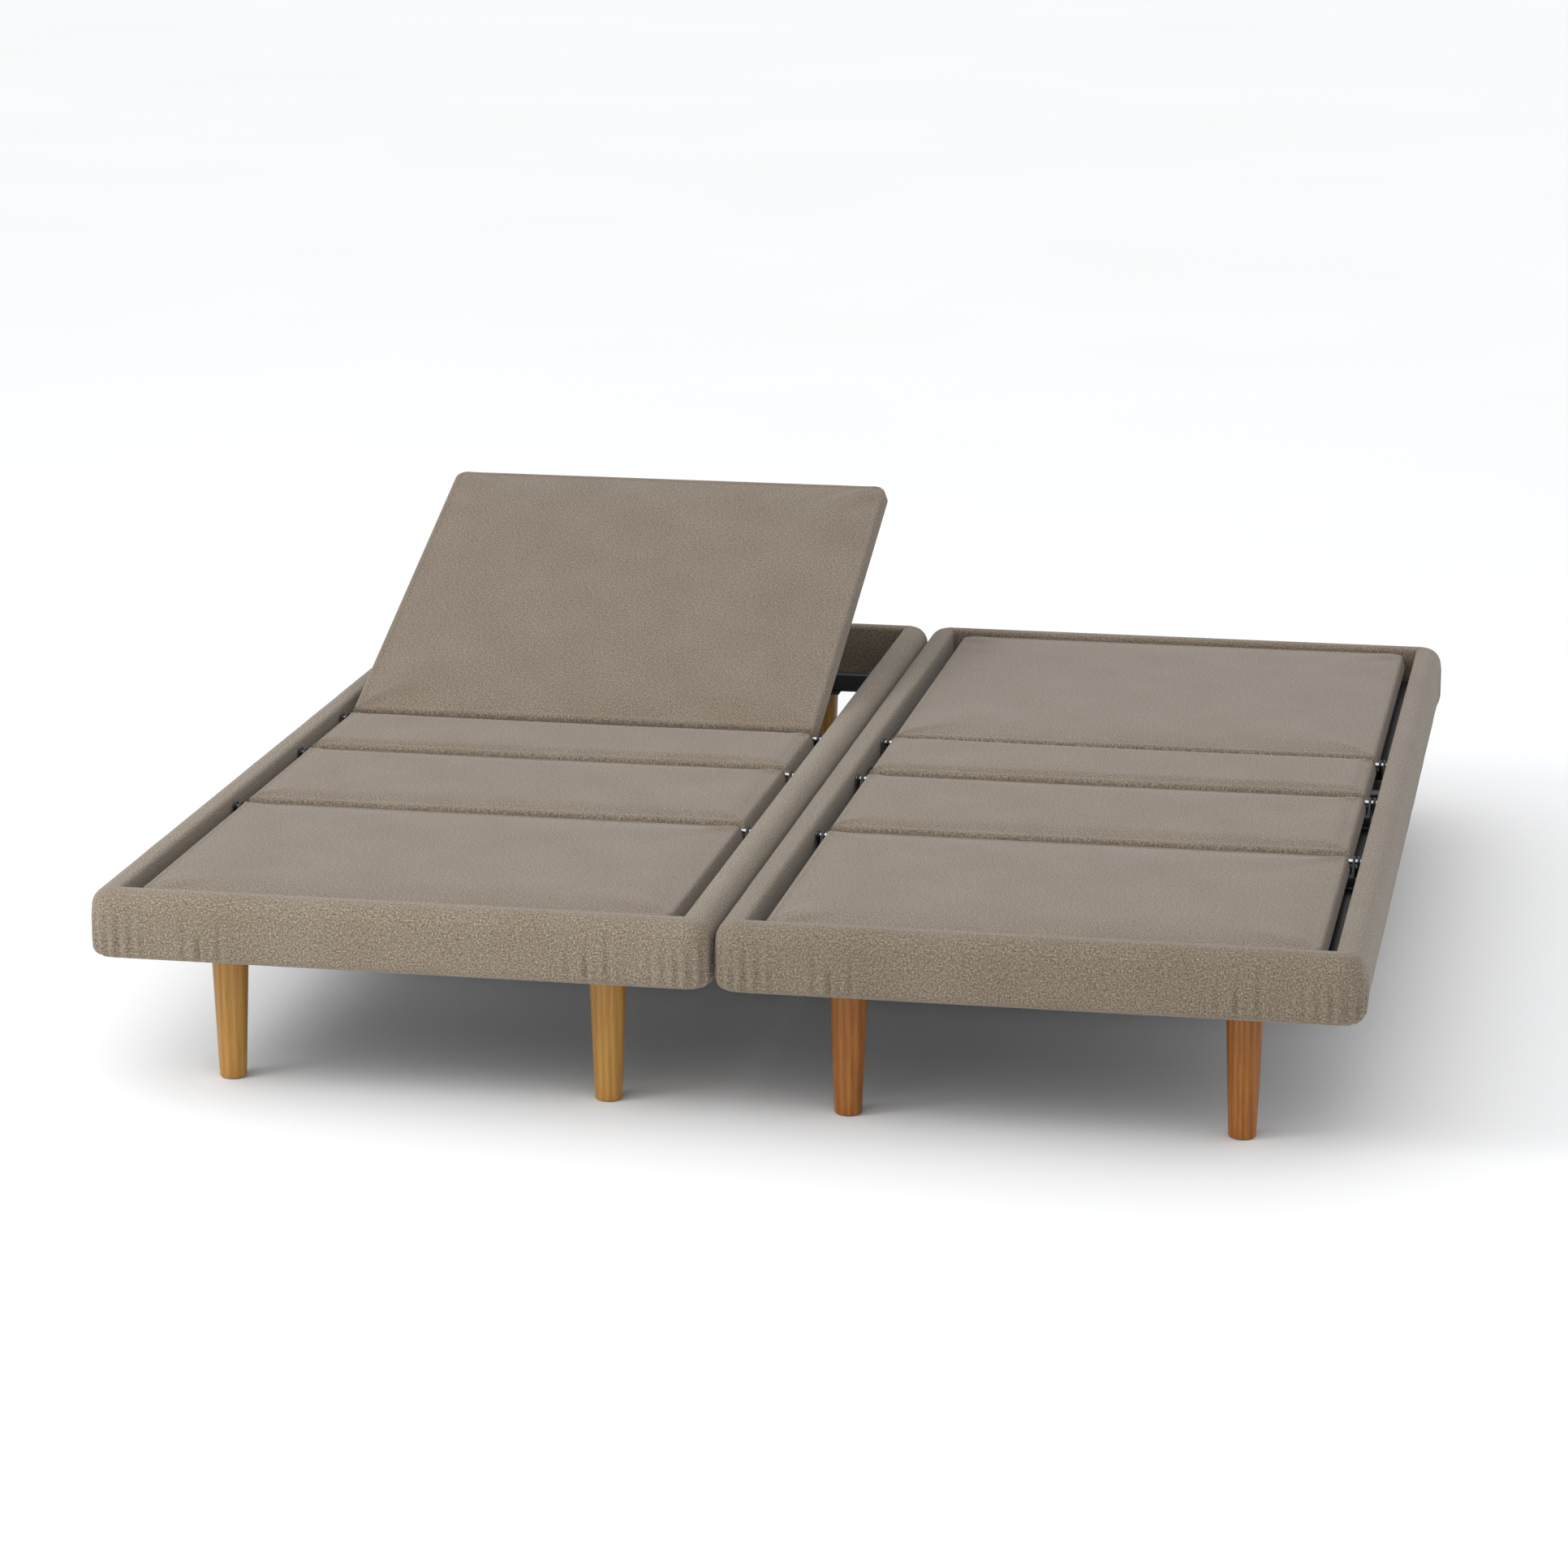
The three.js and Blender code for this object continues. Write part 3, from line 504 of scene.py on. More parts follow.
# %% Spunbond backing
DIMPLE = 2.5 * MM
backing, backing_tree, backing_shader = material("spunbond_backing", Roughness=0.88, Sheen_Weight=0.15)
backing_where = add(backing_tree, "ShaderNodeTexCoord").outputs["UV"]
dimples = add(
    backing_tree,
    "ShaderNodeTexVoronoi",
    {"Vector": backing_where, "Scale": 1 / DIMPLE, "Randomness": 0.12},
    distance="CHEBYCHEV",
    voronoi_dimensions="2D",
)
backing_stops = ((0.1, "#141416"), (0.5, "#2A2A2D"))
backing_tone = add(backing_tree, "ShaderNodeValToRGB", {"Fac": dimples.outputs["Distance"]}, backing_stops)
backing_tree.links.new(backing_tone.outputs[0], backing_shader.inputs["Base Color"])
backing_bump = add(
    backing_tree,
    "ShaderNodeBump",
    {"Height": dimples.outputs["Distance"], "Strength": 0.6, "Distance": 0.25 * MM},
)
backing_tree.links.new(backing_bump.outputs[0], backing_shader.inputs["Normal"])
print("made", backing.name)

# %% [markdown]
# ## Camera, light and floor
# The camera looks along the bed from beyond its foot, a little from the right and from above eye level, with
# a long lens, as a catalogue picture of a bed is taken. One large soft lamp stands high on the left, and a
# wide low one in front fills the rails. Broad, weak daylight comes from the foot, and a nearly white surround
# lights the rest. The floor is plain and pale.

# %% Camera, light and floor
lens = bpy.data.cameras.new("catalogue_lens")
lens.lens = 108
lens.sensor_width = 36
lens.clip_end = 60
camera = bpy.data.objects.new("camera", lens)
camera.location = (1.282, -7.269, 2.139)
aim = Vector((-0.1789, 0.9525, -0.2464))
level = aim.to_track_quat("-Z", "Y")
camera.rotation_mode = "QUATERNION"
camera.rotation_quaternion = level @ Matrix.Rotation(math.radians(0.09), 3, "Z").to_quaternion()
bpy.context.scene.collection.objects.link(camera)
bpy.context.scene.camera = camera


def soft_lamp(name, place, size, watts):
    """A square area lamp that faces the middle of the bed."""
    lamp = bpy.data.lights.new(name, "AREA")
    lamp.size = size
    lamp.energy = watts
    stand = bpy.data.objects.new(name, lamp)
    stand.location = place
    stand.rotation_euler = (Vector((0, -0.4, 0.2)) - Vector(place)).to_track_quat("-Z", "Y").to_euler()
    bpy.context.scene.collection.objects.link(stand)


soft_lamp("key_lamp", (-3.4, -3.0, 3.2), 1.8, 92)
soft_lamp("low_lamp", (-1.6, -6.0, 0.9), 2.4, 24)
daylight = bpy.data.lights.new("daylight", "SUN")
daylight.energy = 0.55
daylight.angle = math.radians(70)
daylight_stand = bpy.data.objects.new("daylight", daylight)
daylight_stand.rotation_euler = Vector((0.35, 0.45, -1)).to_track_quat("-Z", "Y").to_euler()
bpy.context.scene.collection.objects.link(daylight_stand)

sky = bpy.data.worlds.new("studio")
sky.use_nodes = True
sky.node_tree.nodes["Background"].inputs["Color"].default_value = linear("#F7F8FA")
sky.node_tree.nodes["Background"].inputs["Strength"].default_value = 0.95
bpy.context.scene.world = sky
bpy.context.scene.view_settings.view_transform = "Standard"

floor_paint, floor_tree, floor_shader = material("pale_floor", Roughness=0.65, Specular_IOR_Level=0.2)
floor_where = add(floor_tree, "ShaderNodeTexCoord").outputs["Object"]
floor_cloud = add(floor_tree, "ShaderNodeTexNoise", {"Vector": floor_where, "Scale": 0.7}).outputs["Fac"]
floor_stops = ((0.3, "#F6F6F5"), (0.7, "#F8F8F8"))
floor_tone = add(floor_tree, "ShaderNodeValToRGB", {"Fac": floor_cloud}, floor_stops)
floor_tree.links.new(floor_tone.outputs[0], floor_shader.inputs["Base Color"])
FLOOR = 30
corners = [(-FLOOR, -FLOOR, 0), (FLOOR, -FLOOR, 0), (FLOOR, FLOOR, 0), (-FLOOR, FLOOR, 0)]
floor_mesh = bpy.data.meshes.new("floor")
floor_mesh.from_pydata([Vector(c) for c in corners], [], [(0, 1, 2, 3)])
floor_mesh.materials.append(floor_paint)
floor = bpy.data.objects.new("floor", floor_mesh)
bpy.context.scene.collection.objects.link(floor)
print("the camera stands at", [round(v, 2) for v in camera.location])

# %% [markdown]
# ## Rows and spots
# Staples, stitches, weld beads, screws and ribs repeat, so Geometry Nodes place them. One tree resamples a
# path and sets a small piece at each step, and the other sets it at every point of a mesh. Both turn the
# piece to a given up direction, sway it a little by a fixed seed, and realize the copies so that they export.

# %% Trees that repeat a small piece
INPUTS = (
    ("Guide", "NodeSocketGeometry"),
    ("Piece", "NodeSocketObject"),
    ("Pitch", "NodeSocketFloat"),
    ("Up", "NodeSocketVector"),
    ("Sway", "NodeSocketFloat"),
    ("Seed", "NodeSocketInt"),
    ("Finish", "NodeSocketMaterial"),
)


def repeating_tree(name, follows_path):
    tree = bpy.data.node_groups.new(name, "GeometryNodeTree")
    for label, kind in INPUTS:
        tree.interface.new_socket(name=label, in_out="INPUT", socket_type=kind)
    tree.interface.new_socket(name="Row", in_out="OUTPUT", socket_type="NodeSocketGeometry")
    given = add(tree, "NodeGroupInput").outputs
    if follows_path:
        path = add(tree, "GeometryNodeMeshToCurve", {"Mesh": given["Guide"]})
        steps = {"Curve": path.outputs[0], "Length": given["Pitch"]}
        points = add(tree, "GeometryNodeResampleCurve", steps, mode="LENGTH").outputs[0]
        ahead = add(tree, "GeometryNodeInputTangent").outputs[0]
    else:
        points = given["Guide"]
        ahead = (1.0, 0.0, 0.0)
    chance = {3: given["Sway"], 8: given["Seed"]}
    less = add(tree, "ShaderNodeMath", {0: given["Sway"], 1: -1.0}, operation="MULTIPLY").outputs[0]
    sway = add(tree, "FunctionNodeRandomValue", {2: less, **chance}).outputs[1]
    stand = add(
        tree, "FunctionNodeAxesToRotation", {0: given["Up"], 1: ahead}, primary_axis="Z", secondary_axis="X"
    )
    swing = add(tree, "FunctionNodeAxisAngleToRotation", {"Axis": (0, 0, 1), "Angle": sway})
    parts = {0: stand.outputs[0], 1: swing.outputs[0]}
    turn = add(tree, "FunctionNodeRotateRotation", parts, rotation_space="LOCAL")
    small = add(tree, "GeometryNodeObjectInfo", {"Object": given["Piece"]})
    copies = add(
        tree,
        "GeometryNodeInstanceOnPoints",
        {"Points": points, "Instance": small.outputs["Geometry"], "Rotation": turn.outputs[0]},
    )
    real = add(tree, "GeometryNodeRealizeInstances", {0: copies.outputs[0]})
    finished = add(tree, "GeometryNodeSetMaterial", {0: real.outputs[0], "Material": given["Finish"]})
    add(tree, "NodeGroupOutput", {0: finished.outputs[0]})
    return tree


ALONG = repeating_tree("small_pieces_along_a_path", True)
AT_SPOTS = repeating_tree("small_pieces_at_spots", False)


def small_piece(name, drawing):
    bmesh.ops.recalc_face_normals(drawing, faces=drawing.faces)
    mesh = bpy.data.meshes.new(name)
    drawing.to_mesh(mesh)
    drawing.free()
    piece = bpy.data.objects.new(name, mesh)
    bpy.context.scene.collection.objects.link(piece)
    return piece


def path_mesh(paths):
    """Edges along one or more runs of points. A run that ends where it starts is closed."""
    mesh = bpy.data.meshes.new("guide")
    verts, edges = [], []
    for run in paths:
        closed = run[0] == run[-1]
        run = run[:-1] if closed else run
        first = len(verts)
        verts += run
        edges += [(first + i, first + i + 1) for i in range(len(run) - 1)]
        if closed:
            edges.append((len(verts) - 1, first))
    mesh.from_pydata(verts, edges, [])
    return mesh


def repeat(name, guide, small, finish, body, place=None, pitch=10.0, up=(0, 0, 1), sway=0.0):
    """Runs a tree on a guide and keeps the result as a plain mesh on its body."""
    carrier = bpy.data.objects.new(name + "_guide", guide)
    bpy.context.scene.collection.objects.link(carrier)
    modifier = carrier.modifiers.new("repeat", "NODES")
    modifier.node_group = ALONG if guide.edges else AT_SPOTS
    values = {"Piece": small, "Pitch": pitch, "Up": up, "Sway": sway, "Seed": 7, "Finish": finish}
    for item in modifier.node_group.interface.items_tree:
        if item.in_out == "INPUT" and item.name in values:
            modifier[item.identifier] = values[item.name]
    bpy.context.view_layer.update()
    graph = bpy.context.evaluated_depsgraph_get()
    mesh = bpy.data.meshes.new_from_object(carrier.evaluated_get(graph))
    bpy.data.objects.remove(carrier)
    mesh.transform((place or Matrix.Identity(4)) @ Matrix.Scale(MM, 4))
    return keep_mesh(name, mesh, finish, body, ())


print("trees:", ALONG.name, AT_SPOTS.name)

# %% [markdown]
# ### The small pieces
# A lock stitch shows as a short fat capsule. A staple shows only its crown. Weld metal is a row of flat
# overlapping ripples. Screws have a domed head with a socket, and bolts a hexagon head on a washer. Each of
# them repeats many times, so each has only a few dozen faces.

# %% Small pieces
def domed_screw(head, tall, socket):
    profile = [(-0.4, 0), (-0.4, head), (0.5, head), (tall * 0.8, head * 0.72), (tall, head * 0.5)]
    profile += [(tall, socket), (tall - 1.6, socket * 0.98), (tall - 1.6, 0)]
    return turned(bmesh.new(), profile, "Z", segments=12)


def hex_bolt(across, tall, washer):
    drawing = bmesh.new()
    disc = [(-0.2, 0), (-0.2, washer), (1.2, washer), (1.4, washer - 0.4), (1.4, 0)]
    turned(drawing, disc, "Z", segments=20)
    corner = across / 2 / math.cos(math.pi / 6)
    top = 1.2 + tall
    head = [(1.3, 0), (1.3, corner), (1.2 + tall * 0.85, corner), (top, corner * 0.86), (top, 0)]
    return turned(drawing, head, "Z", segments=6)


def lens_shaped(start, full, radius, segments):
    """A short round piece that is full between two places and runs to a point at both ends."""
    profile = [(start, 0), (full, radius), (-full, radius), (-start, 0)]
    return turned(bmesh.new(), profile, segments=segments)


stitch = small_piece("stitch", lens_shaped(-1.7, -1.2, 0.42, 6))
staple = small_piece("staple", box(bmesh.new(), both(5.5), both(0.6), (-0.3, 0.35), 0.2, 1))
ripple = small_piece("ripple", lens_shaped(-0.9, -0.5, 2.1, 10))
screw = small_piece("screw", domed_screw(3.2, 1.8, 1.3))
bolt = small_piece("bolt", hex_bolt(10.0, 5.0, 9.5))
rib = small_piece("rib", box(bmesh.new(), both(0.9), both(16), (-0.3, 1.3), 0.4, 1))
SMALL = (stitch, staple, ripple, screw, bolt, rib)
print("small pieces:", [piece.name for piece in SMALL])

# %% [markdown]
# ## The upholstered surround
# Each unit's four rails are timber boxes with foam on the outside and one cover pulled round them all and
# stapled below. A sweep shows this well: a padded section is carried round a rounded rectangle, so the cloth
# is continuous at the corners. Foam makes the faces crown a little. The cover is pulled down hardest at the
# corners and beside the legs, so it puckers there, low on the rail. A cloth simulation of puckers this fine,
# on a cover 5.8 metres round, would need some 80,000 points for each unit, so the cover is modelled directly.

# %% A padded section carried round the unit
RAIL_THICK = 44.0
CORNER = 38.0  # radius of the unit's corners, seen from above
EASE = {"top": 25.0, "bottom": 14.0, "inner": 7.0}  # radii of the rail's own edges
STEP = 3.0  # between points round the unit, fine enough to draw a pucker
CROWN = 3.0  # how far the foam swells in the middle of a face
SET_BACK = 2.6  # where the face starts, inside the timber's line
PROUD = 1.6  # the furthest that the cloth stands out past that line


def plan(half_x, half_y, corner, inset):
    """Points round a rounded rectangle moved in by an inset, each with its outward direction."""
    radius = max(corner - inset, 2.0)
    cx, cy = half_x - inset - radius, half_y - inset - radius
    turns = max(8, int(corner * math.pi / 2 / STEP))
    points, outward = [], []
    quarter = math.pi / 2
    for k, (sx, sy) in enumerate(((1, -1), (1, 1), (-1, 1), (-1, -1))):
        for i in range(turns + 1):
            angle = (k - 1 + i / turns) * quarter
            direction = (math.cos(angle), math.sin(angle))
            points.append((sx * cx + radius * direction[0], sy * cy + radius * direction[1]))
            outward.append(direction)
        run = 2 * (half_y - corner) if k % 2 == 0 else 2 * (half_x - corner)
        steps = int(run / STEP)
        end = ((cx, cy), (-cx, cy), (-cx, -cy), (cx, -cy))[k]
        angle = k * quarter
        direction = (math.cos(angle), math.sin(angle))
        start = points[-1]
        finish = (end[0] + radius * direction[0], end[1] + radius * direction[1])
        for i in range(1, steps):
            t = i / steps
            points.append((start[0] + (finish[0] - start[0]) * t, start[1] + (finish[1] - start[1]) * t))
            outward.append(direction)
    return points, outward


def rounded_section(thick, tall, top, bottom, inner):
    """The rail's section as (inset, height, how far it faces out), round from the bottom inside edge."""
    def bend(centre, radius, start, end, steps):
        turned_points = arc(centre, radius, math.radians(start), math.radians(end), steps)
        return [(x, z, max(0.0, -(x - centre[0]) / radius)) for x, z in turned_points]

    section = [(thick - 1, 0, 0), (thick * 0.7, 0, 0), (bottom + 6, 0, 0)]
    section += bend((bottom, bottom), bottom, 270, 180, 7)
    steps = 13
    low, high = bottom, tall - top
    section += [(0, low + (high - low) * i / steps, 1) for i in range(1, steps)]
    section += bend((top, tall - top), top, 180, 90, 8)
    section += [(top + (thick - inner - top) * i / 4, tall, 0) for i in range(1, 4)]
    section += bend((thick - inner, tall - inner), inner, 90, 0, 4)
    section += [(thick, tall * 0.5, 0), (thick, 1, 0)]
    return section


def pull_lines(half_x, half_y, corner, leg_x):
    """Each pucker's place along the outside, and how wide, how deep and how high it is."""
    arc_run = corner * math.pi / 2
    long_run, short_run = 2 * (half_y - corner), 2 * (half_x - corner)
    lap = 2 * (long_run + short_run) + 4 * arc_run
    corners = [arc_run / 2, arc_run * 1.5 + long_run]
    corners += [c + lap / 2 for c in corners]
    pulls = []
    for index, place in enumerate(corners):
        for k in range(-4, 5):  # nine puckers at each corner, deepest in the middle
            lift = 0.5 + 0.5 * noise.noise(Vector((index * 3.1, k * 1.7, 0)))
            deep = 5.4 * (1 - abs(k) / 7)
            pulls.append((place + k * 19 + 6 * lift, 4.2 + 2.2 * lift, deep, 50 + 52 * lift))
    foot_middle = lap - short_run / 2
    head_middle = 2 * arc_run + long_run + short_run / 2
    for middle in (foot_middle, head_middle):
        for side in (-1, 1):
            for k, depth in enumerate((2.8, 5.6, 3.8)):  # three at each leg
                shift = noise.noise(Vector((middle * 0.01, side, k * 2.3)))
                place = middle + side * leg_x + (k - 1) * 27 + 9 * shift
                pulls.append((place, 4.6 + 1.5 * shift, depth, 72 + 40 * shift))
    for k in range(int(lap / 90)):  # and a faint one every 90 mm or so, where the staples pull
        shift = noise.noise(Vector((k * 0.73, 5.1, 0)))
        pulls.append((k * 90 + 30 * shift, 7, 0.28 + 0.2 * abs(shift), 18 + 12 * shift))
    return pulls, lap


def surround(name, half_x, half_y, centre_x, bottom, tall, leg_x, cover, node_names):
    section = rounded_section(RAIL_THICK, tall, EASE["top"], EASE["bottom"], EASE["inner"])
    pulls, lap = pull_lines(half_x, half_y, CORNER, leg_x)
    outer, _ = plan(half_x, half_y, CORNER, 0)
    along = [0.0]
    for a, b in zip(outer, outer[1:] + outer[:1]):
        along.append(along[-1] + math.dist(a, b))
    strength = []
    for place in along[:-1]:
        near = []
        for centre, width, depth, high in pulls:
            gap = abs(place - centre % lap)
            gap = min(gap, lap - gap)
            if gap < 4 * width:
                dent = math.exp(-((gap / width) ** 2))
                ridge = math.exp(-(((gap - 1.7 * width) / width) ** 2))
                near.append((depth * (dent - 0.6 * ridge), high))
        strength.append(near)
    verts, girth = [], [0.0]
    for low, high in zip(section, section[1:] + section[:1]):
        girth.append(girth[-1] + math.dist(low[:2], high[:2]))
    for inset, height, facing in section:
        points, outward = plan(half_x, half_y, CORNER, inset)
        crown = CROWN * (1 - ((height - tall / 2) / (tall / 2)) ** 2) * facing
        on_top = 0.8 * math.sin(math.pi * min(1, inset / RAIL_THICK)) if height == tall else 0
        pulled = min(1, facing * 2) * min(1, 0.25 + height / 32)
        for i, ((x, y), (ox, oy)) in enumerate(zip(points, outward)):
            dip = sum(d * max(0.0, 1 - height / high) ** 0.8 for d, high in strength[i])
            soft = 0.55 * noise.noise(Vector((x, y, height)) / 95) * (facing > 0.1)
            out = min(PROUD, crown - SET_BACK * facing - dip * pulled + soft)
            verts.append((centre_x + x + ox * out, y + oy * out, bottom + height + on_top))
    count, rows = len(outer), len(section)
    faces, coords = [], []
    for r in range(rows):
        for i in range(count):
            j, q = (i + 1) % count, (r + 1) % rows
            faces.append((r * count + i, q * count + i, q * count + j, r * count + j))
            here, ahead = along[i], along[i + 1]
            coords += [(here, girth[r]), (here, girth[r + 1]), (ahead, girth[r + 1]), (ahead, girth[r])]
    mesh = bpy.data.meshes.new(name)
    mesh.from_pydata(verts, [], faces)
    layer = mesh.uv_layers.new(name="cloth")
    layer.data.foreach_set("uv", [c * MM for pair in coords for c in pair])
    mesh.transform(Matrix.Scale(MM, 4))
    mesh.flip_normals()
    piece = keep_mesh(name, mesh, cover, "base", node_names)
    print(name, "has", len(faces), "faces, and a cover", round(lap), "mm round")


def size_of(*nodes):
    """The lowest and highest corners round some frame parts, in millimetres."""
    corners = [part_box(node) for node in nodes]
    low = [min(c[0][a] for c in corners) / MM for a in range(3)]
    high = [max(c[1][a] for c in corners) / MM for a in range(3)]
    return low, high


RAILS = ("foot_rail", "head_rail", "outer_side_rail", "inner_side_rail")
middle = {}
for side in SIDES:
    nodes = [f"{side}_{rail}" for rail in RAILS]
    low, high = size_of(*nodes)
    leg_low, leg_high = size_of(f"{side}_foot_outer_leg")
    middle[side] = (low[0] + high[0]) / 2
    half = [(h - l) / 2 for l, h in zip(low, high)]
    leg_from_middle = abs((leg_low[0] + leg_high[0]) / 2 - middle[side])
    surround(
        f"{side}_upholstered_surround", half[0], half[1], middle[side], low[2], high[2] - low[2],
        leg_from_middle, rail_linen[side], nodes,
    )

# %% [markdown]
# Under the rails the cover is turned in and stapled every 38 mm or so, never quite straight.

# %% Staples under the surround
STAPLES_IN = 31.0  # from the outside of the rail
for side in SIDES:
    low, high = size_of(*(f"{side}_{rail}" for rail in RAILS))
    points, _ = plan((high[0] - low[0]) / 2, (high[1] - low[1]) / 2, CORNER, STAPLES_IN)
    run = [(middle[side] + x, y, low[2] - 0.1) for x, y in points]
    repeat(
        f"{side}_surround_staples", path_mesh([run + run[:1]]), staple, zinc, "base", pitch=38.0,
        up=(0, 0, -1), sway=0.35,
    )
print("the covers are stapled")

# %% [markdown]
# ## The padded boards
# A board is plywood with a sheet of foam on it, wrapped in cloth that is pulled under and stapled, with a
# line of top stitching near the edge. The grid below is a box whose rim cells are bent round the edge, so the
# cloth and its UV map run over it without a seam, and the underside carries the black spunbond. A cloth
# simulation fills the cover: the points that are stapled below are held, air pressure stands for the foam,
# and how far a point may move is capped, because foam stops a cover where air would not. The stitched groove
# comes after.

# %% Fill a cover by cloth simulation
FILL_STEPS = 20
FILL_CAP = 4.5  # the furthest that a point may move


def filled(mesh, stapled):
    """How far each point of a cover moves as it fills, in metres, under a cap."""
    cover = bpy.data.objects.new("cover", mesh.copy())
    bpy.context.scene.collection.objects.link(cover)
    cover.vertex_groups.new(name="stapled").add(stapled, 1.0, "REPLACE")
    cloth = cover.modifiers.new("fill", "CLOTH")
    cloth.settings.quality = 4
    cloth.settings.use_pressure = True
    cloth.settings.uniform_pressure_force = 4
    cloth.settings.effector_weights.gravity = 0
    cloth.settings.vertex_group_mass = "stapled"
    cloth.point_cache.frame_end = FILL_STEPS
    for step in range(1, FILL_STEPS + 1):
        bpy.context.scene.frame_set(step)
    full = cover.evaluated_get(bpy.context.evaluated_depsgraph_get()).data
    cap = FILL_CAP * MM
    moves = []
    for before, after in zip(mesh.vertices, full.vertices):
        move = after.co - before.co
        length = max(move.length, 1e-9)
        moves.append(move * (cap * math.tanh(length / cap) / length))
    bpy.data.objects.remove(cover)
    bpy.context.scene.frame_set(1)
    return moves


print("covers will be filled in", FILL_STEPS, "steps")

# %% Padded boards
BOARD_EDGE = 7.0  # radius of the padded edge
BOARD_STEP = 9  # between the points of the grid
BOARD_CORNERS = {"head": 24.0, "seat": 0.0, "thigh": 0.0, "foot": 24.0}
STITCH_IN = 13.0  # from the rim to the top stitching
GROOVE = {"deep": 1.0, "wide": 2.8}


def soften(value, low, high, edge):
    """How far a place is inside the range, as a share of the edge, from 0 at the rim to 1 inside."""
    return max(0.0, min(1.0, min(value - low, high - value) / edge))


def spaced(low, high, step, near):
    """Places between two ends: close together near the ends and a step apart between."""
    rim = [0.0, 0.12, 0.3, 0.52, 0.76, 1.0, 1.35, 1.7, 2.05]
    ends = [near * share for share in rim]
    count = max(1, round((high - low - 2 * ends[-1]) / step))
    inside = [low + ends[-1] + (high - low - 2 * ends[-1]) * i / count for i in range(1, count)]
    return [low + e for e in ends] + inside + [high - e for e in reversed(ends)]


def rim_drop(inside):
    """The height lost towards the rim, as a quarter circle."""
    return 1 - math.sqrt(max(0.0, 1 - (1 - inside) ** 2))


def round_corner(x, y, half, high, corner):
    """Moves a point of the grid so that the end's corners become round."""
    if not corner:
        return x, y
    cx, cy = half - corner, high - corner
    if abs(x) <= cx or y <= cy:
        return x, y
    u, v = (abs(x) - cx) / corner, (y - cy) / corner
    squared = max(u, v)
    length = math.hypot(u, v)
    if length == 0:
        return x, y
    u, v = u * squared / length, v * squared / length
    return math.copysign(cx + u * corner, x), cy + v * corner


fills, surfaces = {}, {}


def padded_board(name, half, low, high, thick, body, place, node, corner, seed):
    """A padded board from low to high along its own +Y, with its pivot line at the origin."""
    xs = spaced(-half, half, BOARD_STEP, BOARD_EDGE)
    ys = spaced(low, high, BOARD_STEP, BOARD_EDGE)
    nx, ny = len(xs), len(ys)
    under, top = -thick / 2, thick / 2
    verts = []
    for level in ("under", "top"):
        for y in ys:
            for x in xs:
                inside_x = soften(x, -half, half, BOARD_EDGE)
                inside_y = soften(y, low, high, BOARD_EDGE)
                drop = max(rim_drop(inside_x), rim_drop(inside_y))
                px, py = round_corner(x, y, half, high, corner)
                height = under + 0.5 * BOARD_EDGE * drop if level == "under" else top - BOARD_EDGE * drop
                verts.append((px, py, height))
    count = nx * ny
    faces, coords, backed = [], [], []
    for j in range(ny - 1):
        for i in range(nx - 1):
            a = j * nx + i
            faces.append((a, a + nx, a + nx + 1, a + 1))
            faces.append((count + a, count + a + 1, count + a + nx + 1, count + a + nx))
            corners = [(xs[i], ys[j]), (xs[i], ys[j + 1]), (xs[i + 1], ys[j + 1]), (xs[i + 1], ys[j])]
            coords += corners + [corners[0], corners[3], corners[2], corners[1]]
            inner = 2 < i < nx - 4 and 2 < j < ny - 4
            backed += [1 if inner else 0, 0]
    rim = [i for i in range(nx)] + [j * nx + nx - 1 for j in range(1, ny)]
    rim += [(ny - 1) * nx + i for i in range(nx - 2, -1, -1)] + [j * nx for j in range(ny - 2, 0, -1)]
    walk = 0.0
    for a, b in zip(rim, rim[1:] + rim[:1]):
        length = math.dist(verts[a][:2], verts[b][:2])
        faces.append((a, b, count + b, count + a))
        rise = verts[count + a][2] - verts[a][2]
        coords += [(walk, 0), (walk + length, 0), (walk + length, rise), (walk, rise)]
        backed.append(0)
        walk += length
    mesh = bpy.data.meshes.new(name)
    mesh.from_pydata(verts, [], faces)
    layer = mesh.uv_layers.new(name="cloth")
    layer.data.foreach_set("uv", [c * MM for pair in coords for c in pair])
    mesh.materials.append(deck_linen)
    mesh.materials.append(backing)
    mesh.polygons.foreach_set("material_index", backed)
    mesh.transform(Matrix.Scale(MM, 4))
    part = node.split("_")[1]
    if part not in fills:
        fills[part] = filled(mesh, range(count))
    for vert, move in zip(mesh.vertices, fills.get(part, ())):
        vert.co += move
    for vert, (x, y, _) in list(zip(mesh.vertices, verts))[count:]:
        near_rim = min(half - abs(x), y - low, high - y)
        groove = GROOVE["deep"] * math.exp(-(((near_rim - STITCH_IN) / GROOVE["wide"]) ** 2))
        wave = 0.6 * noise.noise(Vector((x + seed * 71, y, seed * 13)) / 120)
        wave *= min(1, max(0, near_rim) / 40)
        vert.co.z += (wave - groove) * MM
    surfaces[node] = BVHTree.FromPolygons([v.co / MM for v in mesh.vertices], faces)
    mesh.transform(place)
    piece = keep_mesh(name, mesh, deck_linen, body, (node,))


def board_size(side, part, place):
    """The lowest and highest corners of a board in a place of its own, in millimetres."""
    points = [place.inverted() @ v.co for v in frame["nodes"][f"{side}_{part}_board"].data.vertices]
    low = [min(p[a] for p in points) / MM for a in range(3)]
    high = [max(p[a] for p in points) / MM for a in range(3)]
    return low, high


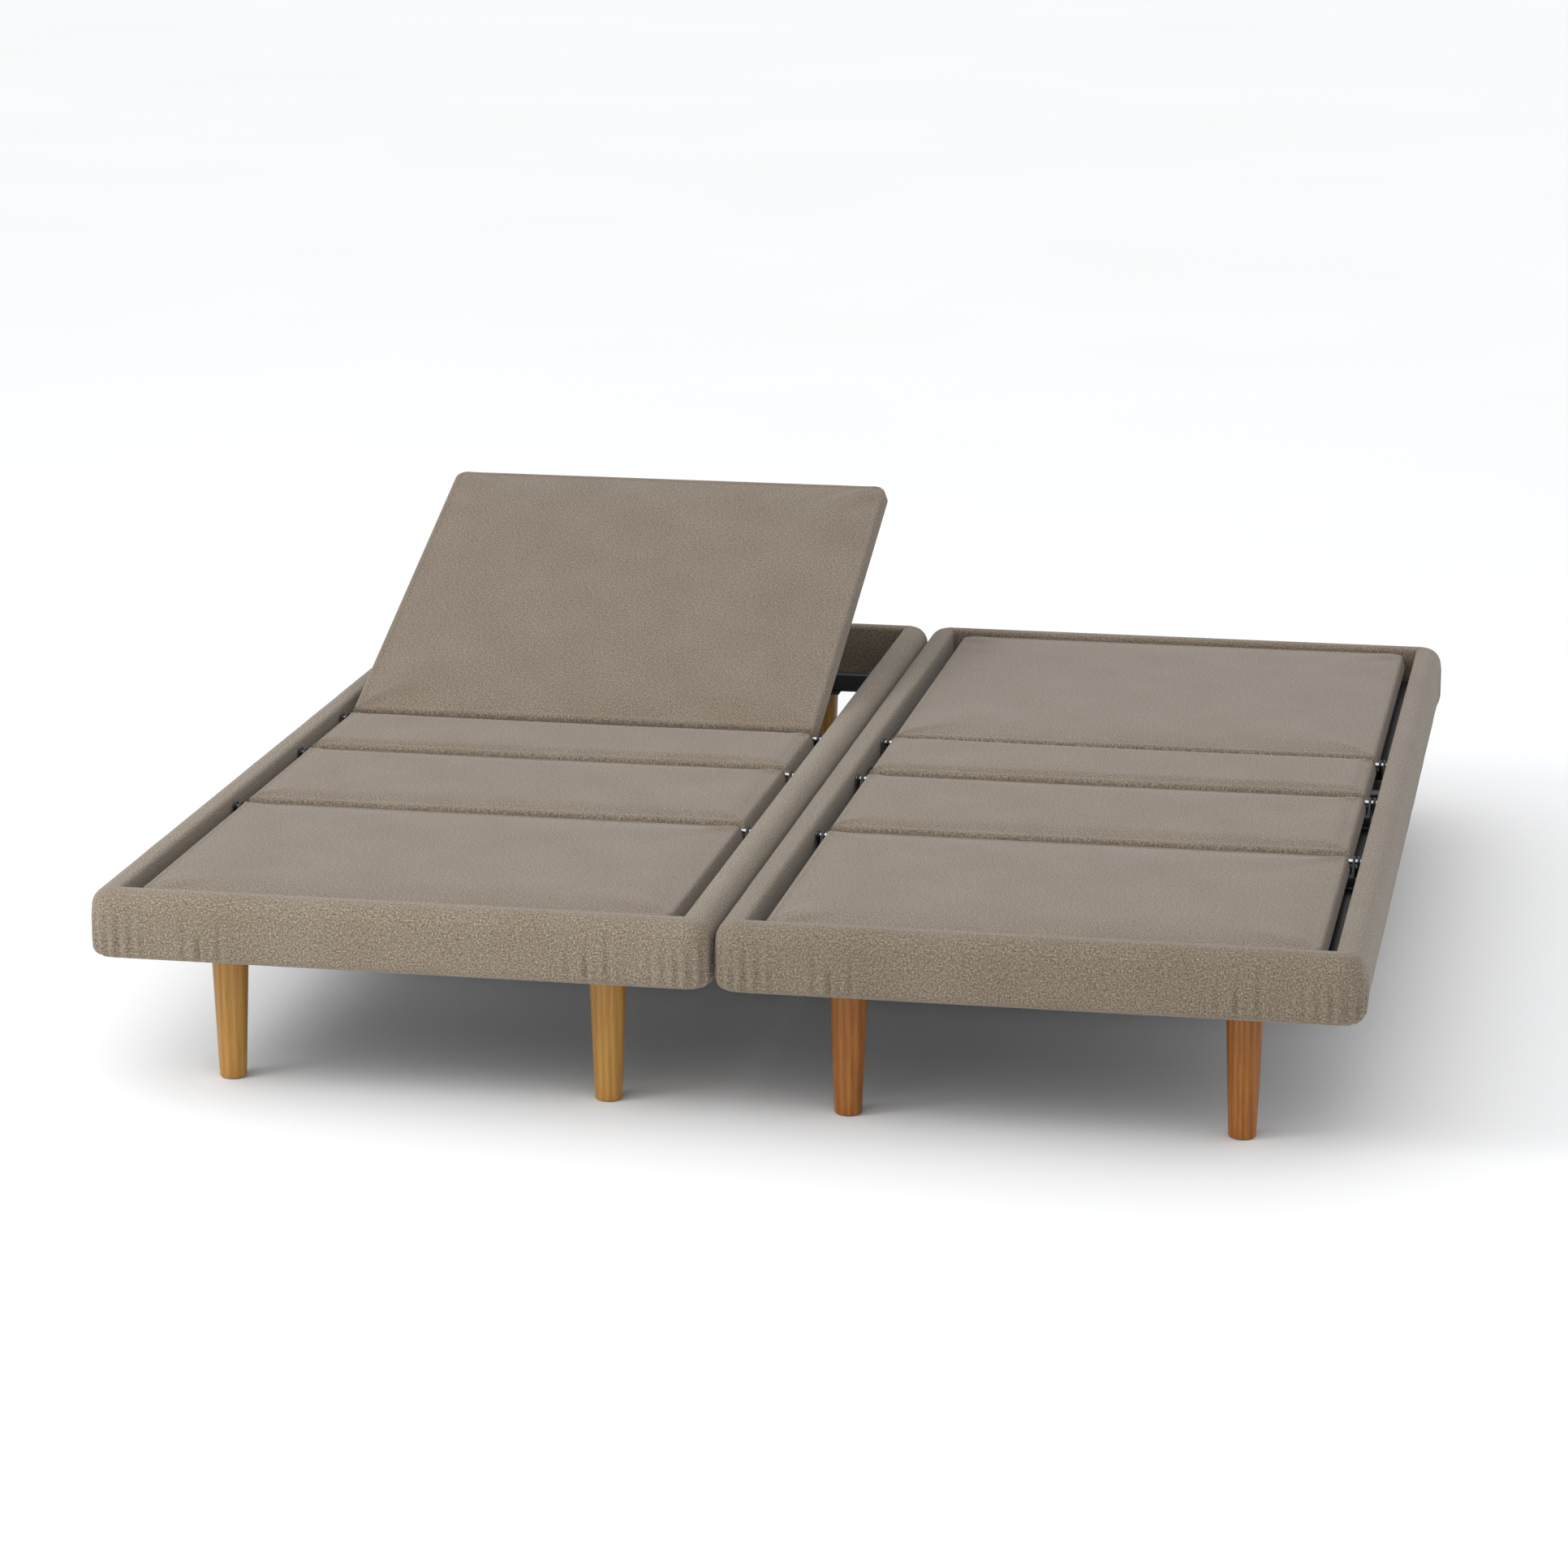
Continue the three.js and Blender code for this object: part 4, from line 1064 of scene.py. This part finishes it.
board_places = {}
for side in SIDES:
    seat = Vector((0, 0, pivot(f"{side}_head_lift").z))
    stands = {
        "head": (places[f"{side}_head_section"], f"{side}_head_section"),
        "seat": (Matrix.Translation(seat), "base"),
        "thigh": (places[f"{side}_thigh_section"], f"{side}_thigh_section"),
        "foot": (places[f"{side}_foot_section"], f"{side}_foot_section"),
    }
    for seed, (part, (place, body)) in enumerate(stands.items()):
        low, high = board_size(side, part, place)
        shift = Matrix.Translation(Vector(((low[0] + high[0]) / 2, 0, 0)) * MM)
        own = place @ shift
        half = (high[0] - low[0]) / 2
        board_places[side, part] = (own, body, half, low[1], high[1], low[2])
        padded_board(
            f"{side}_{part}_padded_board", half, low[1], high[1], high[2] - low[2], body, own,
            f"{side}_{part}_board", BOARD_CORNERS[part], seed + (4 if side == "right" else 0),
        )
print("made", len(board_places), "padded boards")

# %% [markdown]
# The top stitching sinks into the groove, and the cloth is held under the board by a row of staples.

# %% Stitches and staples on the boards
def rim_path(half, low, high, corner, inset, surface, down):
    """A closed run on a board's top or underside, inside its rim, round the same corners at its far end."""
    radius = max(corner - inset, 2)
    run = [(half - inset, low + inset), (-half + inset, low + inset)]
    for sign, start in ((-1, math.pi), (1, math.pi / 2)):
        centre = (sign * (half - inset - radius), high - inset - radius)
        run += arc(centre, radius, start, start - math.pi / 2, 8)
    laid = []
    for (x0, y0), (x1, y1) in zip(run, run[1:] + run[:1]):
        steps = max(1, int(math.dist((x0, y0), (x1, y1)) / 12))
        for i in range(steps):
            x, y = x0 + (x1 - x0) * i / steps, y0 + (y1 - y0) * i / steps
            hit = surface.ray_cast(Vector((x, y, -100 * down)), Vector((0, 0, down)))[0]
            laid.append((x, y, hit.z - 0.15 * down))
    return laid + laid[:1]


for (side, part), (own, body, half, low, high, _) in board_places.items():
    corner = BOARD_CORNERS[part] or 3.0
    surface = surfaces[f"{side}_{part}_board"]
    seam = rim_path(half, low, high, corner, STITCH_IN, surface, -1)
    repeat(
        f"{side}_{part}_top_stitching", path_mesh([seam]), stitch, thread, body, own, pitch=5.0,
        sway=0.1,
    )
    tacks = rim_path(half, low, high, corner, 17.0, surface, 1)
    repeat(
        f"{side}_{part}_board_staples", path_mesh([tacks]), staple, zinc, body, own, pitch=40.0,
        up=(0, 0, -1), sway=0.3,
    )
print("the boards are stitched and stapled")

# %% [markdown]
# ## Legs
# Each leg is turned on a lathe, thicker at the top, with a small radius at the foot and a felt glide let into
# its underside. A double screw hidden in its top holds it to the chassis plate.

# %% Turned legs
ENDS = ("foot_outer", "foot_inner", "head_outer", "head_inner")
TAPER = 8  # how much smaller the leg's radius is at the floor
GLIDE = 1.2  # how far the felt lifts the timber
for side in SIDES:
    for end in ENDS:
        node = f"{side}_{end}_leg"
        low, high = size_of(node)
        centre = ((low[0] + high[0]) / 2, (low[1] + high[1]) / 2, 0)
        wide, tall = (high[0] - low[0]) / 2, high[2]
        narrow = wide - TAPER
        foot = GLIDE + 3
        profile = [(2, 0), (2, narrow - 5), (GLIDE, narrow - 5), (GLIDE, narrow - 3)]
        bend = arc((0, 0), 1, 0.35, math.pi / 2, 5)
        profile += [(foot - r * 3, narrow - 3 + z * 3) for z, r in bend][::-1]
        steps = 12
        for i in range(1, steps):
            t = i / steps
            profile.append((foot + (tall - 1 - foot) * t, narrow + (wide - narrow) * t))
        profile += [(tall - 1, wide), (tall, wide - 1), (tall, 0)]
        keep(
            f"{node}_turned", turned(bmesh.new(), profile, "Z", centre, 64), leg_wood[side], "base",
            stands_for=(node,),
        )
        pad = [(0.05, 0), (0.05, narrow - 6.2), (0.6, narrow - 5.6), (1.9, narrow - 5.6), (1.9, 0)]
        glide = turned(bmesh.new(), pad, "Z", centre, 40)
        keep(f"{side}_{end}_felt_glide", glide, felt, "base")
print("turned", len(SIDES) * len(ENDS), "legs")

# %% [markdown]
# ## Welded steel
# The chassis and the frames are cut, folded and welded from sheet and tube, then powder coated black. Their
# shapes are already right in the frame, so each one is a copy with its edges eased, which is what gives
# folded steel its thin highlights. The joining plates are zinc plated and the control box is moulded.

# %% Steel frames, joining plates and the control box
STEEL = {
    "chassis": "base",
    "head_frame": "{side}_head_section",
    "thigh_frame": "{side}_thigh_section",
    "foot_frame": "{side}_foot_section",
}
for side in SIDES:
    for node, body in STEEL.items():
        name = f"{side}_{node}"
        eased_copy(name, f"{name}_coated", powder_coat, body.format(side=side), 0.6)
    name = f"{side}_control_box"
    eased_copy(name, f"{name}_shell", box_plastic, "base", 0.8)
for end in ("foot", "head"):
    name = f"{end}_joining_plate"
    eased_copy(name, f"{name}_plated", zinc, "base", 0.6)
print("coated the steel of both units")

# %% [markdown]
# ## Lift arms, rollers and rods
# Each lift arm is a torque tube with two arms and a pair of crank plates welded on. The crank plates have a
# slot, because the pin of the push rod climbs a little as the arm turns. The rollers are turned from nylon,
# with a shallow recess in each side, and clips hold them on a ground shaft.

# %% Lift arms
def own_points(node, place):
    """A frame part's corners in the flat place of its piece, in millimetres."""
    inverse = place.inverted()
    return [inverse @ v.co / MM for v in frame["nodes"][node].data.vertices]


ARM = {"inner": 73, "outer": 81, "tube": 12, "end": 9, "bore": 5.6}
CRANK = {"at": 100, "inner": 11, "plate": 5, "radius": 95, "hub": 15, "tip": 14, "slot": 6.8}


def cross_tube(drawing, radius, points):
    """A tube across the unit, with a thinner journal at each end."""
    journal = 8
    ends = [p.x for p in points]
    wide = [p.x for p in points if math.hypot(p.y, p.z) > journal + 1 and abs(p.y) < radius + 1]
    bar(drawing, radius, min(wide), max(wide), ease=1.0, segments=40)
    bar(drawing, journal, min(ends), min(wide) + 1, ease=0.8, segments=32)
    bar(drawing, journal, max(wide) - 1, max(ends), ease=0.8, segments=32)


def weld_rounds(name, radius, xs, body, place):
    """Weld beads round a cross tube, at each place along it."""
    loops = [[(x, y, z) for y, z in ring((0, 0), radius)] for x in xs]
    guide = path_mesh([loop + loop[:1] for loop in loops])
    repeat(name, guide, ripple, powder_coat, body, place, pitch=1.9)


for side in SIDES:
    for group in FACING:
        node = f"{side}_{group}_lift_arm"
        place = places[node]
        points = own_points(node, place)
        reach = (places[f"{side}_{group}_rollers"].translation - place.translation).length / MM
        cranks = [p for p in points if abs(p.x - CRANK["at"]) < 17]
        tips = [p for p in cranks if math.hypot(p.y, p.z) > CRANK["radius"] + 4]
        down = math.atan2(sum(p.z for p in tips), sum(p.y for p in tips))
        inmost, pin, outmost = (
            (radius * math.cos(down), radius * math.sin(down))
            for radius in (CRANK["radius"] - 11, CRANK["radius"], CRANK["radius"] + 0.5)
        )
        drawing = bmesh.new()
        cross_tube(drawing, ARM["tube"], points)
        for x in mirrored(ARM["inner"], ARM["outer"]):
            outlines = [strap((0, 0), ARM["tube"], (reach, 0), ARM["end"]), ring((reach, 0), ARM["bore"])]
            cut(drawing, outlines, x, 0.7)
        slot = strap(inmost, CRANK["slot"], outmost)
        sheet = strap((0, 0), CRANK["hub"], pin, CRANK["tip"])
        for low, high in mirrored(CRANK["inner"], CRANK["inner"] + CRANK["plate"]):
            cut(drawing, [sheet, slot], (CRANK["at"] + low, CRANK["at"] + high), 0.7)
        keep(f"{node}_welded", drawing, powder_coat, node, place, stands_for=(node,))
        xs = [x for low, high in mirrored(ARM["inner"], ARM["outer"]) for x in (low - 0.6, high + 0.6)]
        weld_rounds(f"{node}_weld_beads", ARM["tube"] + 0.4, xs, node, place)
print("made", 2 * len(SIDES), "lift arms")

# %% Rollers, shafts and hinge rods
ROLLER = {"inner": 86, "outer": 104, "radius": 16, "shaft": 5, "end": 108}
CLIP = 0.9


def roller_profile(low, high):
    wheel, hub = ROLLER["radius"], 8.5
    side = [(0, hub - 1), (0, hub), (1.6, hub + 0.6), (1.6, 12.4), (0, 13), (0, wheel - 0.8), (0.8, wheel)]
    near = [(low + x, r) for x, r in side]
    far = [(high - x, r) for x, r in reversed(side)]
    return [(low, 0), *near, *far, (high, 0)]


def clip(drawing, x):
    """A spring clip on the shaft, with its low side at x."""
    turned(drawing, [(x, 0), (x, 7.4), (x + CLIP, 7.4), (x + CLIP, 0)], segments=24)


for side in SIDES:
    for group in FACING:
        node = f"{side}_{group}_rollers"
        wheels, shaft = bmesh.new(), bmesh.new()
        for low, high in mirrored(ROLLER["inner"], ROLLER["outer"]):
            turned(wheels, roller_profile(low, high), segments=56)
        keep(f"{node}_nylon", wheels, white_nylon, node, places[node], stands_for=(node,))
        bar(shaft, ROLLER["shaft"], -ROLLER["end"], ROLLER["end"], segments=28)
        for x in (ROLLER["outer"] + 0.8, ROLLER["inner"] - 1.8):
            clip(shaft, x)
            clip(shaft, -x - CLIP)
        keep(f"{node}_shaft", shaft, ground_steel, node, places[node])
    rods = {"head_hinge_rod": "base", "thigh_hinge_rod": "base", "knee_hinge_rod": f"{side}_thigh_section"}
    for rod, body in rods.items():
        node = f"{side}_{rod}"
        low, high = size_of(node)
        centre = (0, (low[1] + high[1]) / 2, (low[2] + high[2]) / 2)
        drawing = bar(bmesh.new(), (high[2] - low[2]) / 2, low[0], high[0], centre=centre, ease=0.8)
        keep(f"{node}_ground", drawing, ground_steel, body, stands_for=(node,))
print("made the rollers, their shafts and the hinge rods")

# %% [markdown]
# ## Actuators
# Each actuator is a moulded gearbox with a motor slung below it and a square outer tube, from which a round
# push rod comes out. The eye at the tail turns on the chassis bracket's pin, and the rod's pin pushes the
# crank. Screws close the gearbox, and grooves for grip run round the motor's cap.

# %% Actuators
GEARBOX = {"half": 26, "start": 30, "end": 112, "low": -44, "high": 22}
TUBE = {"half": 20, "deep": 18, "start": 100, "collar": 16}
MOTOR = {"radius": 26, "start": 60, "end": 210, "z": -46}
EYE = {"tail": 13, "half": 11, "tip": 12, "tip_half": 9, "pin": 5, "pin_half": 18, "rod": 10.6}


def actuator(side, group):
    node = f"{side}_{group}_actuator"
    place = places[node]
    mouth = max(p.y for p in own_points(node, place))
    housing = bmesh.new()
    wide, start, end, low, high = GEARBOX.values()
    box(housing, both(wide), (start, end), (low, high), 5, 3)
    box(housing, both(wide + 0.9), (start + 38, start + 40.4), (low - 0.9, high + 0.9), 0.6, 2)
    box(housing, both(EYE["half"]), (6, 40), both(10), 2, 2)
    tail = [ring((0, 0), EYE["tail"]), ring((0, 0), EYE["pin"] + 0.7)]
    cut(housing, tail, both(EYE["half"]), 0.8)
    collar = TUBE["collar"]
    box(housing, both(TUBE["half"] + 3), (mouth - collar, mouth), both(TUBE["deep"] + 3), 3, 3)
    keep(f"{node}_housing", housing, black_nylon, node, place, stands_for=(node,))
    sleeve = bmesh.new()
    box(sleeve, both(TUBE["half"]), (TUBE["start"], mouth - collar + 2), both(TUBE["deep"]), 3.5, 3)
    for x in (-9, 0, 9):
        run = (TUBE["start"], mouth - collar + 1)
        box(sleeve, (x - 1.2, x + 1.2), run, both(TUBE["deep"] + 0.8), 0.5, 1)
    keep(f"{node}_outer_tube", sleeve, anodised, node, place)
    can = bmesh.new()
    start, end, radius = MOTOR["start"], MOTOR["end"], MOTOR["radius"]
    profile = [(start, 0), (start, radius - 3), (start + 3, radius)]
    cap = end - 34
    profile += [(cap, radius), (cap, radius - 1.2), (cap + 2, radius - 1.2), (cap + 2, radius)]
    for groove in range(5):
        y = cap + 6 + groove * 4.4
        profile += [(y, radius), (y + 0.4, radius - 1), (y + 1.8, radius - 1), (y + 2.2, radius)]
    profile += [(end - 2.5, radius), (end, radius - 2.5), (end, 9), (end - 1.5, 8), (end - 1.5, 0)]
    turned(can, profile, "Y", (0, 0, MOTOR["z"]), 56)
    keep(f"{node}_motor", can, black_nylon, node, place)
    lip = [(mouth - 3, 0), (mouth - 3, 13.6), (mouth + 0.6, 13.6), (mouth + 1.1, 12.8), (mouth + 1.1, 0)]
    keep(f"{node}_wiper", turned(bmesh.new(), lip, "Y"), felt, node, place)
    for sign, face in ((1, "outer"), (-1, "inner")):
        heads = [(sign * GEARBOX["half"], y, z) for y in (39, 61, 79, 103) for z in (-35, 13)]
        guide = bpy.data.meshes.new("guide")
        guide.from_pydata(heads, [], [])
        repeat(
            f"{node}_screws_{face}", guide, screw, zinc, node, place, up=(sign, 0, 0)
        )


def push_rod(side, group):
    node = f"{side}_{group}_actuator_rod"
    place = places[f"{side}_{group}_actuator"]
    lengths = [p.y for p in own_points(node, place)]
    tip = max(lengths) - EYE["tip"]
    rod = bmesh.new()
    bar(rod, EYE["rod"], min(lengths), tip - 8, "Y", ease=1.5, segments=48)
    keep(f"{node}_tube", rod, ground_steel, node, place, stands_for=(node,))
    fitting = bmesh.new()
    cut(fitting, [ring((tip, 0), EYE["tip"])], both(EYE["tip_half"]), 1.0)
    turned(fitting, [(tip - 24, 0), (tip - 24, 8.4), (tip - 23, 9.4), (tip - 6, 9.4), (tip - 6, 0)], "Y")
    bar(fitting, EYE["pin"], -EYE["pin_half"], EYE["pin_half"], centre=(0, tip, 0), segments=28)
    keep(f"{node}_eye_and_pin", fitting, zinc, node, place)


for side in SIDES:
    for group in FACING:
        places[f"{side}_{group}_actuator_rod"] = places[f"{side}_{group}_actuator"]
        actuator(side, group)
        push_rod(side, group)
print("made", 2 * len(SIDES), "actuators with their rods")

# %% [markdown]
# ## Swing links
# The foot frame would hang from the knee if nothing held its far end. The swing link does: its torque tube
# turns in the chassis channels, and its two arms carry the studs under the foot frame.

# %% Swing links
for side in SIDES:
    node = f"{side}_swing_link"
    place = places[node]
    points = own_points(node, place)
    arms = sorted({round(abs(p.x), 1) for p in points if p.y > 40})
    length = max(p.y for p in points) - 14
    drawing = bmesh.new()
    cross_tube(drawing, 10, points)
    for x in mirrored(arms[0], arms[-1]):
        cut(drawing, [strap((0, 0), 13, (length, 0), 14), ring((length - 1.5, 0), 8.8)], x, 0.8)
    keep(f"{node}_welded", drawing, powder_coat, node, place, stands_for=(node,))
    xs = (arms[0] - 0.5, arms[-1] + 0.5, -arms[0] + 0.5, -arms[-1] - 0.5)
    weld_rounds(f"{node}_weld_beads", 10.4, xs, node, place)
print("made", len(SIDES), "swing links")

# %% [markdown]
# ## Bolts and screws
# Four screws hold each leg plate and four bolts hold each joining plate. More screws go up through the cross
# bars of the frames into the plywood of the boards.

# %% Bolts and screws
def at_spots(name, spots, small, body, place=None, up=(0, 0, -1)):
    guide = bpy.data.meshes.new("guide")
    guide.from_pydata([Vector(spot) for spot in spots], [], [])
    return repeat(name, guide, small, zinc, body, place, up=up)


def four_round(centre, out_x, out_y, z):
    return [(centre[0] + i * out_x, centre[1] + j * out_y, z) for i in (-1, 1) for j in (-1, 1)]


PLATE_SCREW = 28.5  # from the middle of a leg, each way
GAP = 0.3  # between a board and the frame under it
BAR = {"in": 8, "wide": 22, "deep": 15}  # a frame's cross bar
FAR_BAR = 466  # the foot frame's second bar, from the knee
for side in SIDES:
    spots = []
    for end in ENDS:
        low, high = size_of(f"{side}_{end}_leg")
        centre = ((low[0] + high[0]) / 2, (low[1] + high[1]) / 2)
        spots += four_round(centre, PLATE_SCREW, PLATE_SCREW, high[2] + GAP)
    at_spots(f"{side}_leg_plate_bolts", spots, screw, "base")
    for part in ("head", "thigh", "foot"):
        own, body, _, low, _, under = board_places[side, part]
        bottom = under - GAP - BAR["deep"]
        first = low + BAR["in"] + BAR["wide"] / 2
        bars = [first] if part != "foot" else [first, FAR_BAR]
        spots = [(x, y, bottom) for y in bars for x in (-240, -150, 150, 240)]
        at_spots(f"{side}_{part}_board_screws", spots, screw, body, own)
for end in ("foot", "head"):
    low, high = size_of(f"{end}_joining_plate")
    centre = ((low[0] + high[0]) / 2, (low[1] + high[1]) / 2)
    out_x, out_y = (high[0] - low[0]) / 2 - 13, (high[1] - low[1]) / 2 - 11
    at_spots(f"{end}_joining_plate_bolts", four_round(centre, out_x, out_y, low[2]), bolt, "base")
print("the plates are bolted and the boards screwed on")

# %% [markdown]
# ## Weld beads and cooling ribs
# Where a cross member stands in a side channel, and where a frame's runners meet its cross bar, the welder
# leaves a bead of overlapping ripples. The control box has moulded ribs below that stiffen it.

# %% Weld beads and ribs
FLANGE = 30.6  # from the channel's back to its lip
LIP = 3.3  # thickness of the channel's lower flange
SEAT = 2.3  # from the top of a leg up to that flange
RUNNER = (84, 106)
for side in SIDES:
    low, high = size_of(f"{side}_chassis")
    leg_low, leg_high = size_of(f"{side}_head_inner_leg")
    leg_y = (leg_low[1] + leg_high[1]) / 2
    hinges = [pivot(f"{side}_{name}_lift").y / MM for name in ("head", "leg")]
    anchors = [pivot(f"{side}_{group}_actuator_tilt").y / MM for group in FACING]
    flange = leg_high[2] + SEAT + LIP
    lines = []
    for y in (-leg_y, leg_y, sum(hinges) / 2, *anchors):
        for x0, x1 in ((low[0] + 3, low[0] + FLANGE), (high[0] - FLANGE, high[0] - 3)):
            lines += [[(x0, y + edge, flange), (x1, y + edge, flange)] for edge in (-15.4, 15.4)]
    repeat(
        f"{side}_chassis_welds", path_mesh(lines), ripple, powder_coat, "base", pitch=1.9
    )
    for part in ("head", "thigh"):
        own, body, _, start, _, under = board_places[side, part]
        bottom, inner = under - GAP - BAR["deep"], start + BAR["in"] + BAR["wide"] + 0.4
        lines = [[(x0, inner, bottom + 0.6), (x1, inner, bottom + 0.6)] for x0, x1 in mirrored(*RUNNER)]
        repeat(
            f"{side}_{part}_frame_welds", path_mesh(lines), ripple, powder_coat, body, own, pitch=1.9,
            up=(0, 0, -1),
        )
    low, high = size_of(f"{side}_control_box")
    y = (low[1] + high[1]) / 2
    ribs = [[(low[0] + 22, y, low[2]), (high[0] - 22, y, low[2])]]
    repeat(
        f"{side}_control_box_ribs", path_mesh(ribs), rib, box_plastic, "base", pitch=7.0, up=(0, 0, -1),
    )
print("welded and ribbed")

# %% [markdown]
# ## The end
# The small pieces were only patterns for the copies, so they go. Cloth may stand a little proud, and
# nothing else may grow.

# %% Finish
for pattern in SMALL:
    bpy.data.objects.remove(pattern)
